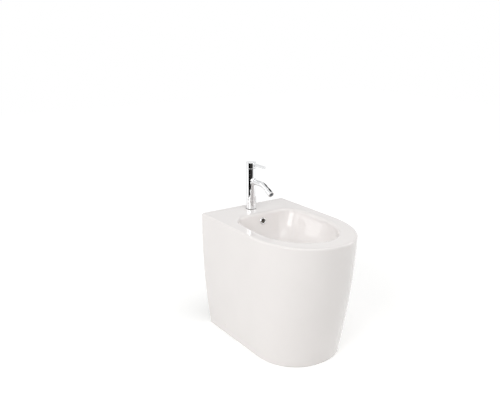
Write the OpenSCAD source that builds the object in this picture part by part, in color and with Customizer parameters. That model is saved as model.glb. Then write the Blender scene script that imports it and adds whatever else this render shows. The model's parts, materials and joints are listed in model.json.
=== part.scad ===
// Floor standing bidet: a hollow ceramic pedestal that stands against a wall, with a single lever tap,
// a push plug waste, a bottle trap and hidden floor fixings.
// The origin is on the floor under the middle of the rim's box. The wall is at +Y, the front faces -Y.

/* [Ceramic body] */
// Width across the rim
body_w = 350; // [320:1:400]
// Depth from the wall to the front of the rim
body_d = 520; // [490:1:580]
// Height of the deck above the floor
body_h = 420; // [400:1:440]
// How much each side draws in from the rim to the floor
side_taper = 29; // [0:1:35]
// How much the front draws in from the rim to the floor
front_taper = 68; // [0:1:80]
// Depth of the curved front at the rim
front_curve = 229; // [200:1:250]
// Squareness of the front curve, where 2 is a true ellipse
front_power = 2.12; // [2:0.02:2.4]
// Radius of the two upright corners at the wall
corner_r = 12; // [4:1:20]
// Thickness of the outer wall
wall_t = 12; // [9:0.5:15]
// Thickness of the deck
deck_t = 20; // [16:0.5:24]
// Rounding of the rim's outer edge
rim_r = 7; // [4:0.5:10]
// Rounding of the foot's lower edge
foot_r = 3; // [1:0.5:4]

/* [Bowl] */
// Width of the rim at each side of the bowl
rim_side = 41; // [36:1:55]
// Width of the rim at the front of the bowl
rim_front = 55; // [45:1:70]
// Depth of the tap deck behind the bowl
rim_back = 114; // [108:1:130]
// Depth of the bowl's curved front
bowl_curve = 172; // [140:1:190]
// Radius of the bowl's two rear corners
bowl_corner = 52; // [30:1:60]
// How much each side of the bowl draws in towards its rear corners
bowl_narrow = 11; // [0:1:16]
// Rounding of the bowl's lip
lip_r = 12; // [6:0.5:13]
// Depth from the deck to the drain seat
bowl_depth = 125; // [110:1:135]
// Thickness of the bowl's wall
bowl_t = 10; // [8:0.5:12]
// Squareness of the bowl's section
bowl_power = 2.6; // [2.2:0.1:3]
// Slope of the bowl's rear and front walls
bowl_draft = 0.2; // [0.1:0.02:0.3]
// Slope of the bowl's side walls
side_draft = 0.38; // [0.2:0.02:0.44]
// Distance of the drain from the wall
drain_back = 255; // [235:1:275]

/* [Drain and overflow] */
// Diameter of the drain hole
drain_d = 46; // [44:0.5:48]
// Diameter of the flat seat around the drain hole
drain_seat_d = 68; // [66:1:74]
// Diameter of the boss under the drain hole
boss_d = 72; // [70:1:80]
// Length of the boss under the bowl's floor
boss_len = 23; // [20:1:26]
// Depth of the overflow hole's centre below the deck
overflow_drop = 28; // [26:1:34]
// Diameter of the overflow hole
overflow_d = 18; // [16:0.5:19]
// Diameter of the overflow ring's flange
overflow_ring_d = 23; // [22:0.5:26]
// Width of the overflow channel
channel_w = 36; // [30:1:38]
// Depth of the overflow channel
channel_t = 9; // [7:0.5:11]
// Thickness of the overflow channel's skin
channel_skin = 7; // [5:0.5:9]

/* [Service opening] */
// Width of the opening in the back
service_w = 210; // [180:1:230]
// Height of the opening in the back
service_h = 300; // [280:1:320]

/* [Floor fixing] */
// Height of the side screws above the floor
fix_h = 32; // [28:1:40]
// Distance of the side screws from the wall
fix_back = 118; // [100:1:140]
// Diameter of the cover cap
cap_d = 14; // [12:0.5:16]
// Thickness of the cover cap
cap_t = 2.5; // [2:0.25:3]
// Diameter of the side screw
side_screw_d = 6; // [5:0.5:7]
// Length of the side screw under its head
side_screw_len = 24; // [20:1:28]
// Width of the floor bracket
bracket_w = 40; // [30:1:50]
// Thickness of the floor bracket
bracket_t = 3; // [2.5:0.5:4]
// Spacing of the two floor holes across the pedestal
floor_hole_gap = 208; // [190:1:212]
// Height of the bracket's upright tab
bracket_h = 56; // [50:1:64]
// Diameter of the bracket's floor hole
floor_hole_d = 8; // [6:0.5:9]

/* [Tap body] */
// Distance of the tap's axis from the wall
tap_back = 52; // [48:0.5:56]
// Diameter of the column
tap_d = 37; // [35:0.5:40]
// Height of the column from its gasket to the handle's seam
column_h = 145; // [135:1:160]
// Diameter of the tap hole in the deck
tap_hole_d = 33; // [32.5:0.25:34]
// Diameter of the spigot that goes into the tap hole
spigot_d = 31; // [30:0.25:32]
// Length of the spigot
spigot_len = 9; // [7:0.5:12]
// Thickness of the gasket under the column
foot_gasket_t = 1.5; // [1:0.25:2.5]
// Root diameter of the supply threads
inlet_d = 8.9; // [8.6:0.1:9.2]
// Depth of the supply threads
inlet_len = 14; // [12:1:18]
// Diameter of the plain recess below each supply thread
inlet_recess_d = 11; // [10.5:0.25:12]
// Depth of that recess
inlet_recess = 9.5; // [9:0.5:12]
// Spacing of the two supply threads
inlet_gap = 14; // [13:0.5:15]
// Diameter of the fixing stud
stud_d = 8; // [6:0.5:8]
// Length of the fixing stud
stud_len = 76; // [60:1:90]

/* [Cartridge and handle] */
// Height of the cartridge seat above the deck
seat_up = 110; // [108:0.5:114]
// Diameter of the cartridge
cartridge_d = 24.8; // [24:0.1:25.4]
// Thread diameter of the cartridge nut
nut_d = 29; // [28:0.25:30]
// Height of the handle's hub
hub_h = 19.8; // [18:0.2:24]
// Gap between the column and the hub
hub_gap = 0.7; // [0.5:0.1:1]
// Depth of the tilt axis below the column's top
pivot_drop = 9.5; // [9:0.25:10]
// Lift of the lever from shut to open
lift_angle = 16; // [10:1:18]
// Diameter of the lever pin
lever_d = 10; // [8:0.5:11]
// Reach of the lever from the tap's axis
lever_reach = 84; // [70:1:100]
// Diameter of the cartridge's tilt pin
tilt_pin_d = 3; // [2.5:0.25:3]
// Width of the square stem
stem_w = 8; // [7:0.25:8]

/* [Spout] */
// Height of the spout above the deck
spout_up = 101; // [98:0.5:102]
// Diameter of the spout tube
spout_d = 18.5; // [17:0.5:19]
// Bore of the spout tube
spout_bore = 12; // [11:0.5:13]
// Distance from the tap's axis to the start of the bend
spout_run = 58; // [45:1:70]
// Radius of the bend at the tube's middle
bend_r = 60; // [45:1:75]
// Slope of the spout's end below level
spout_drop = 28; // [20:1:36]
// Straight length after the bend
spout_tail = 6.4; // [4:0.2:12]
// Diameter of the swivel ball
ball_d = 14; // [13.6:0.1:14.2]
// Diameter of the aerator's ring
aerator_d = 21.5; // [21.2:0.1:23]

/* [Waste and trap] */
// Diameter of the waste's flange
flange_d = 63; // [60:0.5:65]
// Thread diameter of the waste
waste_d = 41.8; // [40:0.2:42]
// Length of the waste below its flange
waste_len = 74; // [70:1:80]
// Diameter of the plug
plug_d = 60; // [56:1:62]
// Travel of the plug
plug_travel = 8; // [5:0.5:10]
// Outer diameter of the trap's pipes
pipe_d = 32; // [30:0.5:32]
// Wall of the trap's pipes
pipe_t = 1.6; // [1.2:0.1:2]
// Diameter of the trap's bottle
bottle_d = 66; // [62:1:72]
// Height of the bottle's top above the floor
bottle_top = 182; // [176:1:186]
// Height of the bottle's lower end above the floor
bottle_low = 84; // [78:1:90]
// Height of the outlet pipe above the floor
outlet_h = 136; // [130:1:142]

/* [Clearances] */
// Radial clearance of a running fit
run_fit = 0.05; // [0.02:0.01:0.08]
// Gap between parts that pass without touching
free_gap = 0.4; // [0.3:0.05:0.5]
// Thickness of the flat seals
seal_t = 1.5; // [1:0.25:2]

/* [Hidden] */
$fn = 64;

// Glaze, metal and plastic colours
glaze = "#ECEAE6";
chrome_metal = "#C9CCCF";
brass = "#C2A35A";
steel = "#A9ACB0";
rubber = "#26272A";
white_plastic = "#F1F1EE";
grey_plastic = "#8E9296";
disc_ceramic = "#E7E2D6";

eps = 0.01;
over = 1;

// Places that everything else hangs on
wall_y = body_d / 2;
front_y = -body_d / 2;
deck_z = body_h;
tap_y = wall_y - tap_back;
drain_y = wall_y - drain_back;
fix_y = wall_y - fix_back;
under_deck = deck_z - deck_t;

// Outline of the pedestal: how the plan shrinks towards the floor
side_bow = 7 / 3;
front_bow = 1.4;
curve_share = 1.2;

// Points round one outline
arc_steps = 30;
side_steps = 4;
corner_steps = 5;
back_steps = 6;
wall_rings = 9;
round_rings = 3;
bowl_rings = 12;
under_rings = 8;
cavity_rings = 4;

function mix(a, b, t) = a + (b - a) * t;
function signed_pow(v, p) = sign(v) * pow(abs(v), p);
function unit(v) = v / norm(v);
function rise(z) = max(0, 1 - z / (body_h - rim_r));
function side_in(z) = side_taper * pow(rise(z), side_bow);
function front_in(z) = front_taper * pow(rise(z), front_bow);
function half_width(z) = body_w / 2 - side_in(z);

// Anticlockwise outline: curved front, right side, back, left side
function outline(half, front, back, curve, power, corner) = concat(
    [for (i = [0:arc_steps]) let (a = 180 + 180 * i / arc_steps)
        [half * signed_pow(cos(a), 2 / power), front + curve * (1 - signed_pow(-sin(a), 2 / power))]],
    [for (i = [1:side_steps]) [half, mix(front + curve, back - corner, i / side_steps)]],
    [for (i = [1:corner_steps]) let (a = 90 * i / corner_steps)
        [half - corner + corner * cos(a), back - corner + corner * sin(a)]],
    [for (i = [1:back_steps]) [mix(half - corner, corner - half, i / back_steps), back]],
    [for (i = [1:corner_steps]) let (a = 90 + 90 * i / corner_steps)
        [corner - half + corner * cos(a), back - corner + corner * sin(a)]],
    [for (i = [1:side_steps - 1]) [-half, mix(back - corner, front + curve, i / side_steps)]]);

function lift(points, z) = [for (p = points) [p.x, p.y, z]];

// A ring of the pedestal at height z, drawn in by inset
function body_ring(z, inset) = lift(outline(
    half_width(z) - inset,
    front_y + front_in(z) + inset,
    wall_y - inset,
    front_curve - curve_share * front_in(z) - inset,
    front_power,
    max(corner_r - inset, foot_r)), z);

// A ring of the bowl's mouth at height z, widened by grow
bowl_half = body_w / 2 - rim_side - lip_r / 2;
bowl_front = front_y + rim_front + lip_r / 2;
bowl_back = wall_y - rim_back - lip_r / 2;
bowl_mid = bowl_front + bowl_curve;
function drawn_in(p) = [p.x - p.x * bowl_narrow / bowl_half
    * pow(max(0, p.y - bowl_mid) / (bowl_back - bowl_mid), 2), p.y];
function mouth(grow) = [for (p = outline(bowl_half + grow, bowl_front - grow, bowl_back + grow,
    bowl_curve + grow, 2, bowl_corner + grow)) drawn_in(p)];
function mouth_ring(z, grow) = lift(mouth(grow), z);

// The bowl's section: share is how much of the mouth's size is left, fall is the depth
drain_share = drain_seat_d / (2 * bowl_half + drain_seat_d);
function bowl_b(t) = pow(sin(t), 2 / bowl_power);
function bowl_a(t) = pow(max(cos(t), 0), 2 / bowl_power);
function share(t, draft = bowl_draft) = drain_share + (1 - drain_share) * bowl_a(t) * (1 - draft * bowl_b(t));
function fall(t) = lip_r + (bowl_depth - lip_r) * bowl_b(t);
function depth_angle(d) = asin(pow((d - lip_r) / (bowl_depth - lip_r), bowl_power / 2));
function slope(t) = unit([
    bowl_half * (share(min(t + 1, 90)) - share(max(t - 1, 0))),
    fall(max(t - 1, 0)) - fall(min(t + 1, 90))]);

// A ring of the bowl at angle t of its section, moved out through the wall by off
function bowl_ring(t, off) = let (n = slope(t), w = pow(bowl_b(t), 8))
    [for (p = mouth(0)) let (v = [p.x * share(t, side_draft), (p.y - drain_y) * share(t)], r = norm(v),
        rho = mix(r, drain_seat_d / 2, w) - off * n.y, q = v / r * rho)
        [q.x, q.y + drain_y, deck_z - fall(t) + off * n.x]];

function drain_ring(r, z) = [for (p = mouth(0)) let (q = unit(p - [0, drain_y]) * r)
    [q.x, q.y + drain_y, z]];

drain_z = deck_z - bowl_depth;
floor_low = drain_z - bowl_t;
boss_low = floor_low - boss_len;
drain_core = 5;
first_drain_r = drain_d / 2 - drain_core;
rim_outer_z = deck_z - rim_r;
lip_low = deck_z - lip_r;

// Angle of the bowl's section where its wall meets the underside of the deck
under_t = depth_angle(deck_t);

// All rings of the ceramic skin in order, from the inner foot round the outside, over the rim, down the
// bowl, through the drain and back up behind the bowl
skin_rings = concat(
    [body_ring(0, wall_t)],
    [for (i = [0:round_rings - 1]) let (a = 90 * i / round_rings)
        body_ring(foot_r * (1 - cos(a)), foot_r * (1 - sin(a)))],
    [for (i = [0:wall_rings]) body_ring(mix(foot_r, rim_outer_z, i / wall_rings), 0)],
    [for (i = [1:round_rings]) let (a = 90 * i / round_rings)
        body_ring(rim_outer_z + rim_r * sin(a), rim_r * (1 - cos(a)))],
    [for (i = [0:round_rings - 1]) let (a = 90 * i / round_rings)
        mouth_ring(lip_low + lip_r * cos(a), lip_r * (1 - sin(a)))],
    [for (i = [0:bowl_rings]) bowl_ring(90 * i / bowl_rings, 0)],
    [drain_ring(first_drain_r, drain_z)],
    [drain_ring(first_drain_r, floor_low)],
    [for (i = [0:under_rings - 1]) bowl_ring(90 - (90 - under_t) * i / under_rings, bowl_t)],
    [lift([for (p = bowl_ring(under_t, bowl_t)) [p.x, p.y]], under_deck)],
    [for (i = [0:cavity_rings - 1]) body_ring(under_deck * (1 - i / cavity_rings), wall_t)]);

function skin_faces(count, size) = [for (j = [0:count - 1], i = [0:size - 1], half = [0, 1])
    let (k = (j + 1) % count, m = (i + 1) % size,
        a = j * size + i, b = j * size + m, c = k * size + m, d = k * size + i)
    half == 0 ? [a, d, c] : [a, c, b]];

module skin(rings) {
    polyhedron(points = [for (r = rings) for (p = r) p], faces = skin_faces(len(rings), len(rings[0])));
}

// Section line of the bowl at its rear middle, moved out through the wall by off
function rear_r(t) = mix((bowl_back - drain_y) * share(t), drain_seat_d / 2, pow(bowl_b(t), 8));
function rear_line(off, t0, t1) = [for (i = [0:10]) let (t = mix(t0, t1, i / 10), n = slope(t))
    [drain_y + rear_r(t) - off * n.y, deck_z - fall(t) + off * n.x]];

// Overflow: the wall's slope and place at the hole
overflow_t = depth_angle(overflow_drop);
overflow_n = slope(overflow_t);
overflow_tilt = atan2(-overflow_n.x, -overflow_n.y);
overflow_y = drain_y + rear_r(overflow_t);
overflow_z = deck_z - overflow_drop;

// Places a child so that its +Z looks out of the overflow hole into the bowl
module at_overflow() {
    translate([0, overflow_y, overflow_z]) rotate([90 - overflow_tilt, 0, 0]) children();
}

// A slab that follows the bowl's rear wall, between two distances from the bowl's surface
module follow_bowl(width, near, far, t0, t1) {
    line_near = rear_line(near, t0, t1);
    line_far = rear_line(far, t0, t1);
    translate([-width / 2, 0, 0]) rotate([90, 0, 90]) linear_extrude(width)
        polygon(concat(line_near, [for (i = [10:-1:0]) line_far[i]]));
}

channel_over = 0.6;
channel_drop = overflow_drop - overflow_d / 2 - channel_over;
channel_start = depth_angle(channel_drop);
duct_start = depth_angle((lip_r + channel_drop) / 2);
channel_far = bowl_t + channel_t;
duct_w = channel_w + 2 * channel_skin;
duct_far = channel_far + channel_skin;
outfall_step = 0.5;

// Root that closes the duct against the round boss
root_half = duct_w / 2 + outfall_step;
root_near = min(drain_d / 2 + over, sqrt(pow(boss_d / 2, 2) - pow(root_half, 2)) - over);

// Side screws: outward normal of the wall and its place
fix_slope = atan((half_width(fix_h + 1) - half_width(fix_h - 1)) / 2);
module at_side_screws() {
    for (side = [0, 1]) mirror([side, 0, 0])
        translate([half_width(fix_h), fix_y, fix_h]) rotate([0, 90 + fix_slope, 0]) children();
}
module at_right_screw() {
    translate([half_width(fix_h), fix_y, fix_h]) rotate([0, 90 + fix_slope, 0]) children();
}

head_h = 3;
head_d = 11;
cap_gap = 0.3;
recess_d = cap_d + 2 * cap_gap;
recess_h = cap_t + cap_gap + head_h;
screw_hole_d = side_screw_d + 1;
wall_in = wall_t * cos(fix_slope);

// Ring and disc helpers on the Z axis
module tube(r_out, r_in, z0, z1) {
    translate([0, 0, z0]) difference() {
        cylinder(r = r_out, h = z1 - z0);
        translate([0, 0, -over]) cylinder(r = r_in, h = z1 - z0 + 2 * over);
    }
}
module rod(r, z0, z1) {
    translate([0, 0, z0]) cylinder(r = r, h = z1 - z0);
}
// A cap nut or housing: bore r_wide from z_open to z_step, then a smaller hole through the end wall at z_end
module stepped(r_out, r_wide, r_hole, z_open, z_step, z_end) {
    away = z_open < z_end ? -over : over;
    difference() {
        rod(r_out, min(z_open, z_end), max(z_open, z_end));
        rod(r_wide, min(z_open + away, z_step), max(z_open + away, z_step));
        rod(r_hole, min(z_step, z_end) - over, max(z_step, z_end) + over);
    }
}
module hex_nut(r_in, across, z0, z1) {
    difference() {
        translate([0, 0, z0]) cylinder(d = across / cos(30), h = z1 - z0, $fn = 6);
        rod(r_in, z0 - over, z1 + over);
    }
}
module at_tap() {
    translate([0, tap_y, 0]) children();
}
module at_drain() {
    translate([0, drain_y, 0]) children();
}

module ceramic_body() color(glaze) difference() {
    union() {
        skin(skin_rings);
        follow_bowl(duct_w, bowl_t / 2, duct_far, duct_start, 90);
        at_drain() tube(boss_d / 2, first_drain_r, boss_low, drain_z - bowl_t / 2);
        translate([-root_half, drain_y + root_near, drain_z - duct_far + outfall_step])
            cube([2 * root_half, drain_seat_d / 2 + over - root_near, duct_far - bowl_t / 2 - outfall_step]);
    }
    follow_bowl(channel_w, bowl_t, channel_far, channel_start, 90);
    translate([-channel_w / 2, drain_y, floor_low - channel_t + outfall_step])
        cube([channel_w, drain_seat_d / 2 + over, channel_t - 2 * outfall_step]);
    at_drain() rod(drain_d / 2, boss_low - over, drain_z + over);
    at_overflow() rod(overflow_d / 2, -bowl_t - channel_t / 2, over);
    at_tap() rod(tap_hole_d / 2, under_deck - over, deck_z + over);
    translate([-service_w / 2, wall_y - 2 * wall_t, -over]) cube([service_w, 3 * wall_t, service_h + over]);
    at_side_screws() union() {
        rod(recess_d / 2, -recess_h, over);
        rod(screw_hole_d / 2, -2 * wall_t, over);
    }
}

// Overflow ring: a flange on the bowl's wall and a sleeve through it
overflow_flange_t = 1.6;
overflow_sleeve_t = 1.2;
overflow_tip = 2.2;
overflow_seat = 0.6;
overflow_inner = bowl_t - 1;
module overflow_ring() color(chrome_metal) at_overflow() difference() {
    union() {
        translate([0, 0, overflow_tip])
            cylinder(d1 = overflow_ring_d, d2 = overflow_ring_d - 2, h = overflow_flange_t);
        rod(overflow_ring_d / 2, overflow_seat, overflow_tip);
        rod(overflow_d / 2 - run_fit, -overflow_inner, overflow_seat);
    }
    rod(overflow_d / 2 - overflow_sleeve_t, -bowl_t, overflow_tip + overflow_flange_t + over);
}

// Tap: levels above the deck
column_low = deck_z + foot_gasket_t;
column_top = column_low + column_h;
spigot_low = column_low - spigot_len;
seat_z = deck_z + seat_up;
spout_z = deck_z + spout_up;
inlet_y = -3.6;
thread_low = spigot_low + inlet_recess;
thread_high = thread_low + inlet_len;
port_x = 6.4;
port_y = -2;
port_r = 2.4;
mix_y = -6.5;
stud_y = 9.5;
spout_end_y = -6.2;
nut_room = 18;
shoulder_z = column_top - nut_room;
thread_r = nut_d / 2;
cartridge_r = cartridge_d / 2;
cartridge_gap = 0.1;

module at_ports() {
    for (x = [-port_x, port_x]) translate([x, port_y, 0]) children();
    translate([0, mix_y, 0]) children();
}

module tap_body() color(chrome_metal) at_tap() difference() {
    union() {
        rod(tap_d / 2, column_low, column_top);
        rod(spigot_d / 2, spigot_low, column_low + over);
    }
    rod(cartridge_r + cartridge_gap, seat_z, column_top + over);
    rod(thread_r, shoulder_z, column_top + over);
    for (x = [-1, 1]) {
        translate([x * inlet_gap / 2, inlet_y, 0]) union() {
            rod(inlet_recess_d / 2, spigot_low - over, thread_low);
            rod(inlet_d / 2, thread_low - over, thread_high);
        }
        translate([x * port_x, port_y, 0]) rod(port_r, thread_high - over, seat_z + over);
    }
    translate([0, mix_y, 0]) rod(port_r, spout_z, seat_z + over);
    translate([0, stud_y, 0]) rod(stud_d / 2, spigot_low - over, spigot_low + stud_grip);
    translate([0, 0, spout_z]) rotate([90, 0, 0]) rod(spout_bore / 2, -spout_end_y, tap_d);
    translate([0, 0, spout_z]) rotate([90, 0, 0]) rod(tenon_r, tap_d / 2 - tenon_len, tap_d);
}

stud_grip = 12;
tenon_r = 7.5;
tenon_len = 5;

gasket_inset = 0.3;
module foot_gasket() color(rubber) at_tap()
    tube(tap_d / 2 - gasket_inset, spigot_d / 2 + run_fit, deck_z, column_low);

module fixing_stud() color(steel) at_tap() translate([0, stud_y, 0])
    rod(stud_d / 2, spigot_low + stud_grip - stud_len, spigot_low + stud_grip);

// Horseshoe plate under the deck, open towards the supply hoses
horseshoe_r = 24;
horseshoe_mouth = 14;
horseshoe_y = 2.5;
washer_t = 2;
gasket_t = 3;
nut_h = 8;
stud_nut_across = 13;
module horseshoe(z0, z1, hole_r) {
    at_tap() difference() {
        rod(horseshoe_r, z0, z1);
        translate([-horseshoe_mouth, -2 * horseshoe_r, z0 - over])
            cube([2 * horseshoe_mouth, 2 * horseshoe_r + horseshoe_y, z1 - z0 + 2 * over]);
        translate([0, stud_y, 0]) rod(hole_r, z0 - over, z1 + over);
    }
}
washer_top = under_deck - gasket_t;
nut_top = washer_top - washer_t;
module horseshoe_gasket() color(rubber) horseshoe(washer_top, under_deck, stud_d / 2);
module horseshoe_washer() color(steel) horseshoe(nut_top, washer_top, stud_d / 2 + run_fit);
module stud_nut() color(brass) at_tap() translate([0, stud_y, 0])
    hex_nut(stud_d / 2, stud_nut_across, nut_top - nut_h, nut_top);

// Cartridge levels, from its seat up
base_gap = 0.3;
base_t = 3;
fixed_t = 2.5;
film = 0.1;
slide_t = 3.2;
base_z = seat_z + base_gap;
disc_z = base_z + base_t;
slide_z = disc_z + fixed_t + film;
slide_top = slide_z + slide_t;
turret_low = slide_top + free_gap;
pivot_z = column_top - pivot_drop;
housing_drop = 10.5;
housing_t = 1.4;
housing_end = 3;
turret_drop = 3.5;
housing_top = column_top - housing_drop;
turret_shoulder = housing_top - housing_end;
turret_top = column_top - turret_drop;
lever_arm = 18.4;
knuckle_z = pivot_z - lever_arm;
knuckle_r = 1.9;
knuckle_gap = 0.3;
disc_travel = lever_arm * lift_angle * PI / 180;
disc_r = 7.5;
fixed_r = 9.8;
turret_r = cartridge_r - housing_t - run_fit;
neck_r = 8.5;
slide_back = disc_travel / 2;
port_seal_w = 1.2;
port_seal_in = 0.7;
disc_lip = 0.2;

module cartridge_base() color(grey_plastic) at_tap() difference() {
    rod(cartridge_r, base_z, disc_z);
    at_ports() rod(port_r, base_z - over, disc_z + over);
    at_ports() rod(port_r + port_seal_w, base_z - over, base_z + port_seal_in);
}

module cartridge_seals() color(rubber) at_tap() at_ports()
    tube(port_r + port_seal_w, port_r, seat_z, base_z + port_seal_in);

module cartridge_housing() color(grey_plastic) at_tap()
    stepped(cartridge_r, turret_r + run_fit, neck_r + free_gap,
        disc_z, turret_shoulder + free_gap, housing_top);

module fixed_disc() color(disc_ceramic) at_tap() difference() {
    rod(fixed_r, disc_z, disc_z + fixed_t);
    at_ports() rod(port_r - disc_lip, disc_z - over, disc_z + fixed_t + over);
}

module moving_disc() color(disc_ceramic) at_tap() difference() {
    translate([0, slide_back, 0]) rod(disc_r, slide_z, slide_top);
    rod(knuckle_r + knuckle_gap, knuckle_z - knuckle_r - knuckle_gap, slide_top + over);
}

leg_slot = 2.8;
leg_wall = 2;
stem_gap = 0.2;
stem_slot_front = 5.8;
stem_slot_len = 12.6;
stem_slot_drop = 5.6;
module cartridge_turret() color(grey_plastic) at_tap() difference() {
    union() {
        rod(turret_r, turret_low, turret_shoulder);
        rod(neck_r, turret_shoulder - over, turret_top);
    }
    translate([-leg_slot, leg_wall - turret_r, turret_low - over])
        cube([2 * leg_slot, turret_r - leg_wall + leg_slot, pivot_z - stem_slot_drop - turret_low + 2 * over]);
    translate([-stem_w / 2 - stem_gap, -stem_slot_front, pivot_z - stem_slot_drop])
        cube([stem_w + 2 * stem_gap, stem_slot_len, turret_top]);
    translate([0, 0, pivot_z]) rotate([0, 90, 0]) rod(tilt_pin_d / 2, -neck_r - over, neck_r + over);
}

pin_inset = 0.3;
module tilt_pin() color(steel) at_tap() translate([0, 0, pivot_z]) rotate([0, 90, 0])
    rod(tilt_pin_d / 2, pin_inset - neck_r, neck_r - pin_inset);

hub_low = column_top + hub_gap;
hub_top = hub_low + hub_h;
hub_cover = 7.5;
socket_top = hub_top - hub_cover;
stem_low = pivot_z - stem_w / 2 - 0.5;
peg_r = 1.6;
module cartridge_stem() color(steel) at_tap() difference() {
    union() {
        translate([-stem_w / 2, -stem_w / 2, stem_low]) cube([stem_w, stem_w, socket_top - stem_low]);
        rod(peg_r, knuckle_z, pivot_z - stem_w / 2);
        translate([0, 0, knuckle_z]) sphere(r = knuckle_r);
    }
    translate([0, 0, pivot_z]) rotate([0, 90, 0]) rod(tilt_pin_d / 2 + run_fit, -stem_w, stem_w);
}

nut_grip = 5;
nut_cover = 4;
dome_low = housing_top + nut_cover;
module cartridge_nut() color(brass) at_tap()
    stepped(thread_r, cartridge_r, neck_r + free_gap, housing_top - nut_grip, housing_top, dome_low);

dome_drop = 0.6;
dome_slope_h = 2;
dome_slope_w = 2.5;
dome_top = column_top - dome_drop;
module dome_ring() color(chrome_metal) at_tap() difference() {
    union() {
        rod(thread_r - run_fit, dome_low, dome_top - dome_slope_h);
        translate([0, 0, dome_top - dome_slope_h - eps])
            cylinder(r1 = thread_r - run_fit, r2 = thread_r - dome_slope_w, h = dome_slope_h);
    }
    rod(neck_r + free_gap, dome_low - over, dome_top + over);
}

// Handle: the hub's underside is cut so that it clears the column when the lever is up
hub_room_r = 14;
hub_room_h = 3.4;
lever_cover = 0.5;
lever_z = hub_top - lever_d / 2 - lever_cover;
grub_up = 6.4;
grub_z = hub_low + grub_up;
lever_tenon_r = 3;
lever_tenon_len = 9;
grub_r = 2;
module handle_hub() color(chrome_metal) at_tap() difference() {
    rod(tap_d / 2, hub_low, hub_top);
    rod(hub_room_r, hub_low - over, hub_low + hub_room_h);
    translate([-stem_w / 2, -stem_w / 2, hub_low]) cube([stem_w, stem_w, socket_top - hub_low]);
    translate([0, 0, pivot_z]) rotate([lift_angle, 0, 0])
        translate([-tap_d, -tap_d, -tap_d])
            cube([2 * tap_d, 2 * tap_d, tap_d + column_top + free_gap - pivot_z]);
    translate([0, 0, lever_z]) rotate([90, 0, 0]) rod(lever_tenon_r, tap_d / 2 - lever_tenon_len, tap_d);
    translate([0, 0, grub_z]) rotate([90, 0, 0]) rod(grub_r, 0, tap_d);
}

lever_chamfer = 0.8;
module lever_pin() color(chrome_metal) at_tap() difference() {
    translate([0, 0, lever_z]) rotate([90, 0, 0]) union() {
        rod(lever_d / 2, lever_tenon_r, lever_reach - lever_chamfer);
        translate([0, 0, lever_reach - lever_chamfer - eps])
            cylinder(d1 = lever_d, d2 = lever_d - 2 * lever_chamfer, h = lever_chamfer + eps);
    }
    difference() {
        rod(tap_d / 2, hub_low - over, hub_top + over);
        translate([0, 0, lever_z]) rotate([90, 0, 0]) rod(lever_tenon_r, tap_d / 2 - lever_tenon_len, tap_d);
    }
}

grub_in = 1.2;
grub_key_d = 2.2;
grub_key_h = 2;
module handle_grub_screw() color(steel) at_tap() translate([0, 0, grub_z]) rotate([90, 0, 0]) difference() {
    rod(grub_r, stem_w / 2, tap_d / 2 - grub_in);
    translate([0, 0, tap_d / 2 - grub_in - grub_key_h])
        cylinder(d = grub_key_d, h = grub_key_h + over, $fn = 6);
}

// Spout: level tube, bend and tail, then a frame on the swivel ball
flare_r = 5;
bend_y = -spout_run;
tail_y = bend_y - bend_r * sin(spout_drop);
tail_z = spout_z - bend_r * (1 - cos(spout_drop));
socket_back = 7;
ball_ahead = spout_tail + socket_back;
ball_y = tail_y - ball_ahead * cos(spout_drop);
ball_z = tail_z - ball_ahead * sin(spout_drop);
module at_ball() {
    translate([0, tap_y + ball_y, ball_z]) rotate([90 + spout_drop, 0, 0]) children();
}

// Level stretch, bend and tail; the straight stretches lap a little way into the bend
lap = 0.5;
lap_step = 0.05;
module spout_path(r, step, start) {
    at_tap() translate([0, 0, spout_z]) rotate([90, 0, 0]) rod(r - step, start, spout_run + lap);
    translate([0, tap_y + bend_y, spout_z - bend_r]) rotate([90, 0, -90]) rotate([0, 0, 90 - spout_drop])
        rotate_extrude(angle = spout_drop, $fn = 96) translate([bend_r, 0]) circle(r);
    at_ball() rod(r - step, -ball_ahead - lap, -socket_back);
}

root_in = 3;
flare_in = 2;
module spout_tube() color(chrome_metal) difference() {
    union() {
        difference() {
            union() {
                spout_path(spout_d / 2, lap_step, tap_d / 2 - root_in);
                at_tap() translate([0, 0, spout_z]) rotate([90, 0, 0]) translate([0, 0, tap_d / 2 - flare_in])
                    rotate_extrude() difference() {
                        square([spout_d / 2 + flare_r, flare_r + flare_in]);
                        translate([spout_d / 2 + flare_r, flare_r + flare_in]) circle(flare_r);
                    }
            }
            at_tap() rod(tap_d / 2, spout_z - tap_d, spout_z + tap_d);
        }
        at_tap() translate([0, 0, spout_z]) rotate([90, 0, 0])
            rod(tenon_r, tap_d / 2 - tenon_len, tap_d / 2 + tenon_len);
    }
    spout_path(spout_bore / 2, -lap_step, tap_d / 2 - tenon_len - over);
    at_ball() rod(socket_spigot_r, -socket_back - socket_spigot, -socket_back + over);
}

// Swivel nozzle, drawn along its own axis from the ball's centre
socket_spigot_r = 7.6;
socket_spigot = 5;
ball_r = ball_d / 2;
liner_t = 0.95;
liner_r = ball_r + run_fit + liner_t;
cavity_r = liner_r + run_fit;
socket_r = spout_d / 2;
mouth_cos = 50;
socket_front = cavity_r * cos(mouth_cos);
flow_r = 2.8;
ball_neck_r = 4.2;
sleeve_gap = 0.5;
cup_r = socket_r + sleeve_gap;
sleeve_r = 10.3;
sleeve_low = 2.4;
web_top = 13;
sleeve_top = 20.6;
insert_r = 8.6;
nozzle_tip = 25;
socket_hole_r = 4;
liner_back = 42;
liner_front = 22;

module nozzle_socket() color(chrome_metal) at_ball() difference() {
    union() {
        rod(socket_r, -socket_back, 0);
        intersection() {
            sphere(r = socket_r);
            rod(socket_r + over, 0, socket_front);
        }
        rod(socket_spigot_r, -socket_back - socket_spigot, -socket_back + eps);
    }
    sphere(r = cavity_r);
    rod(cavity_r * sin(mouth_cos), 0, socket_r + over);
    rod(socket_hole_r, -socket_back - socket_spigot - over, 0);
}

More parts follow.
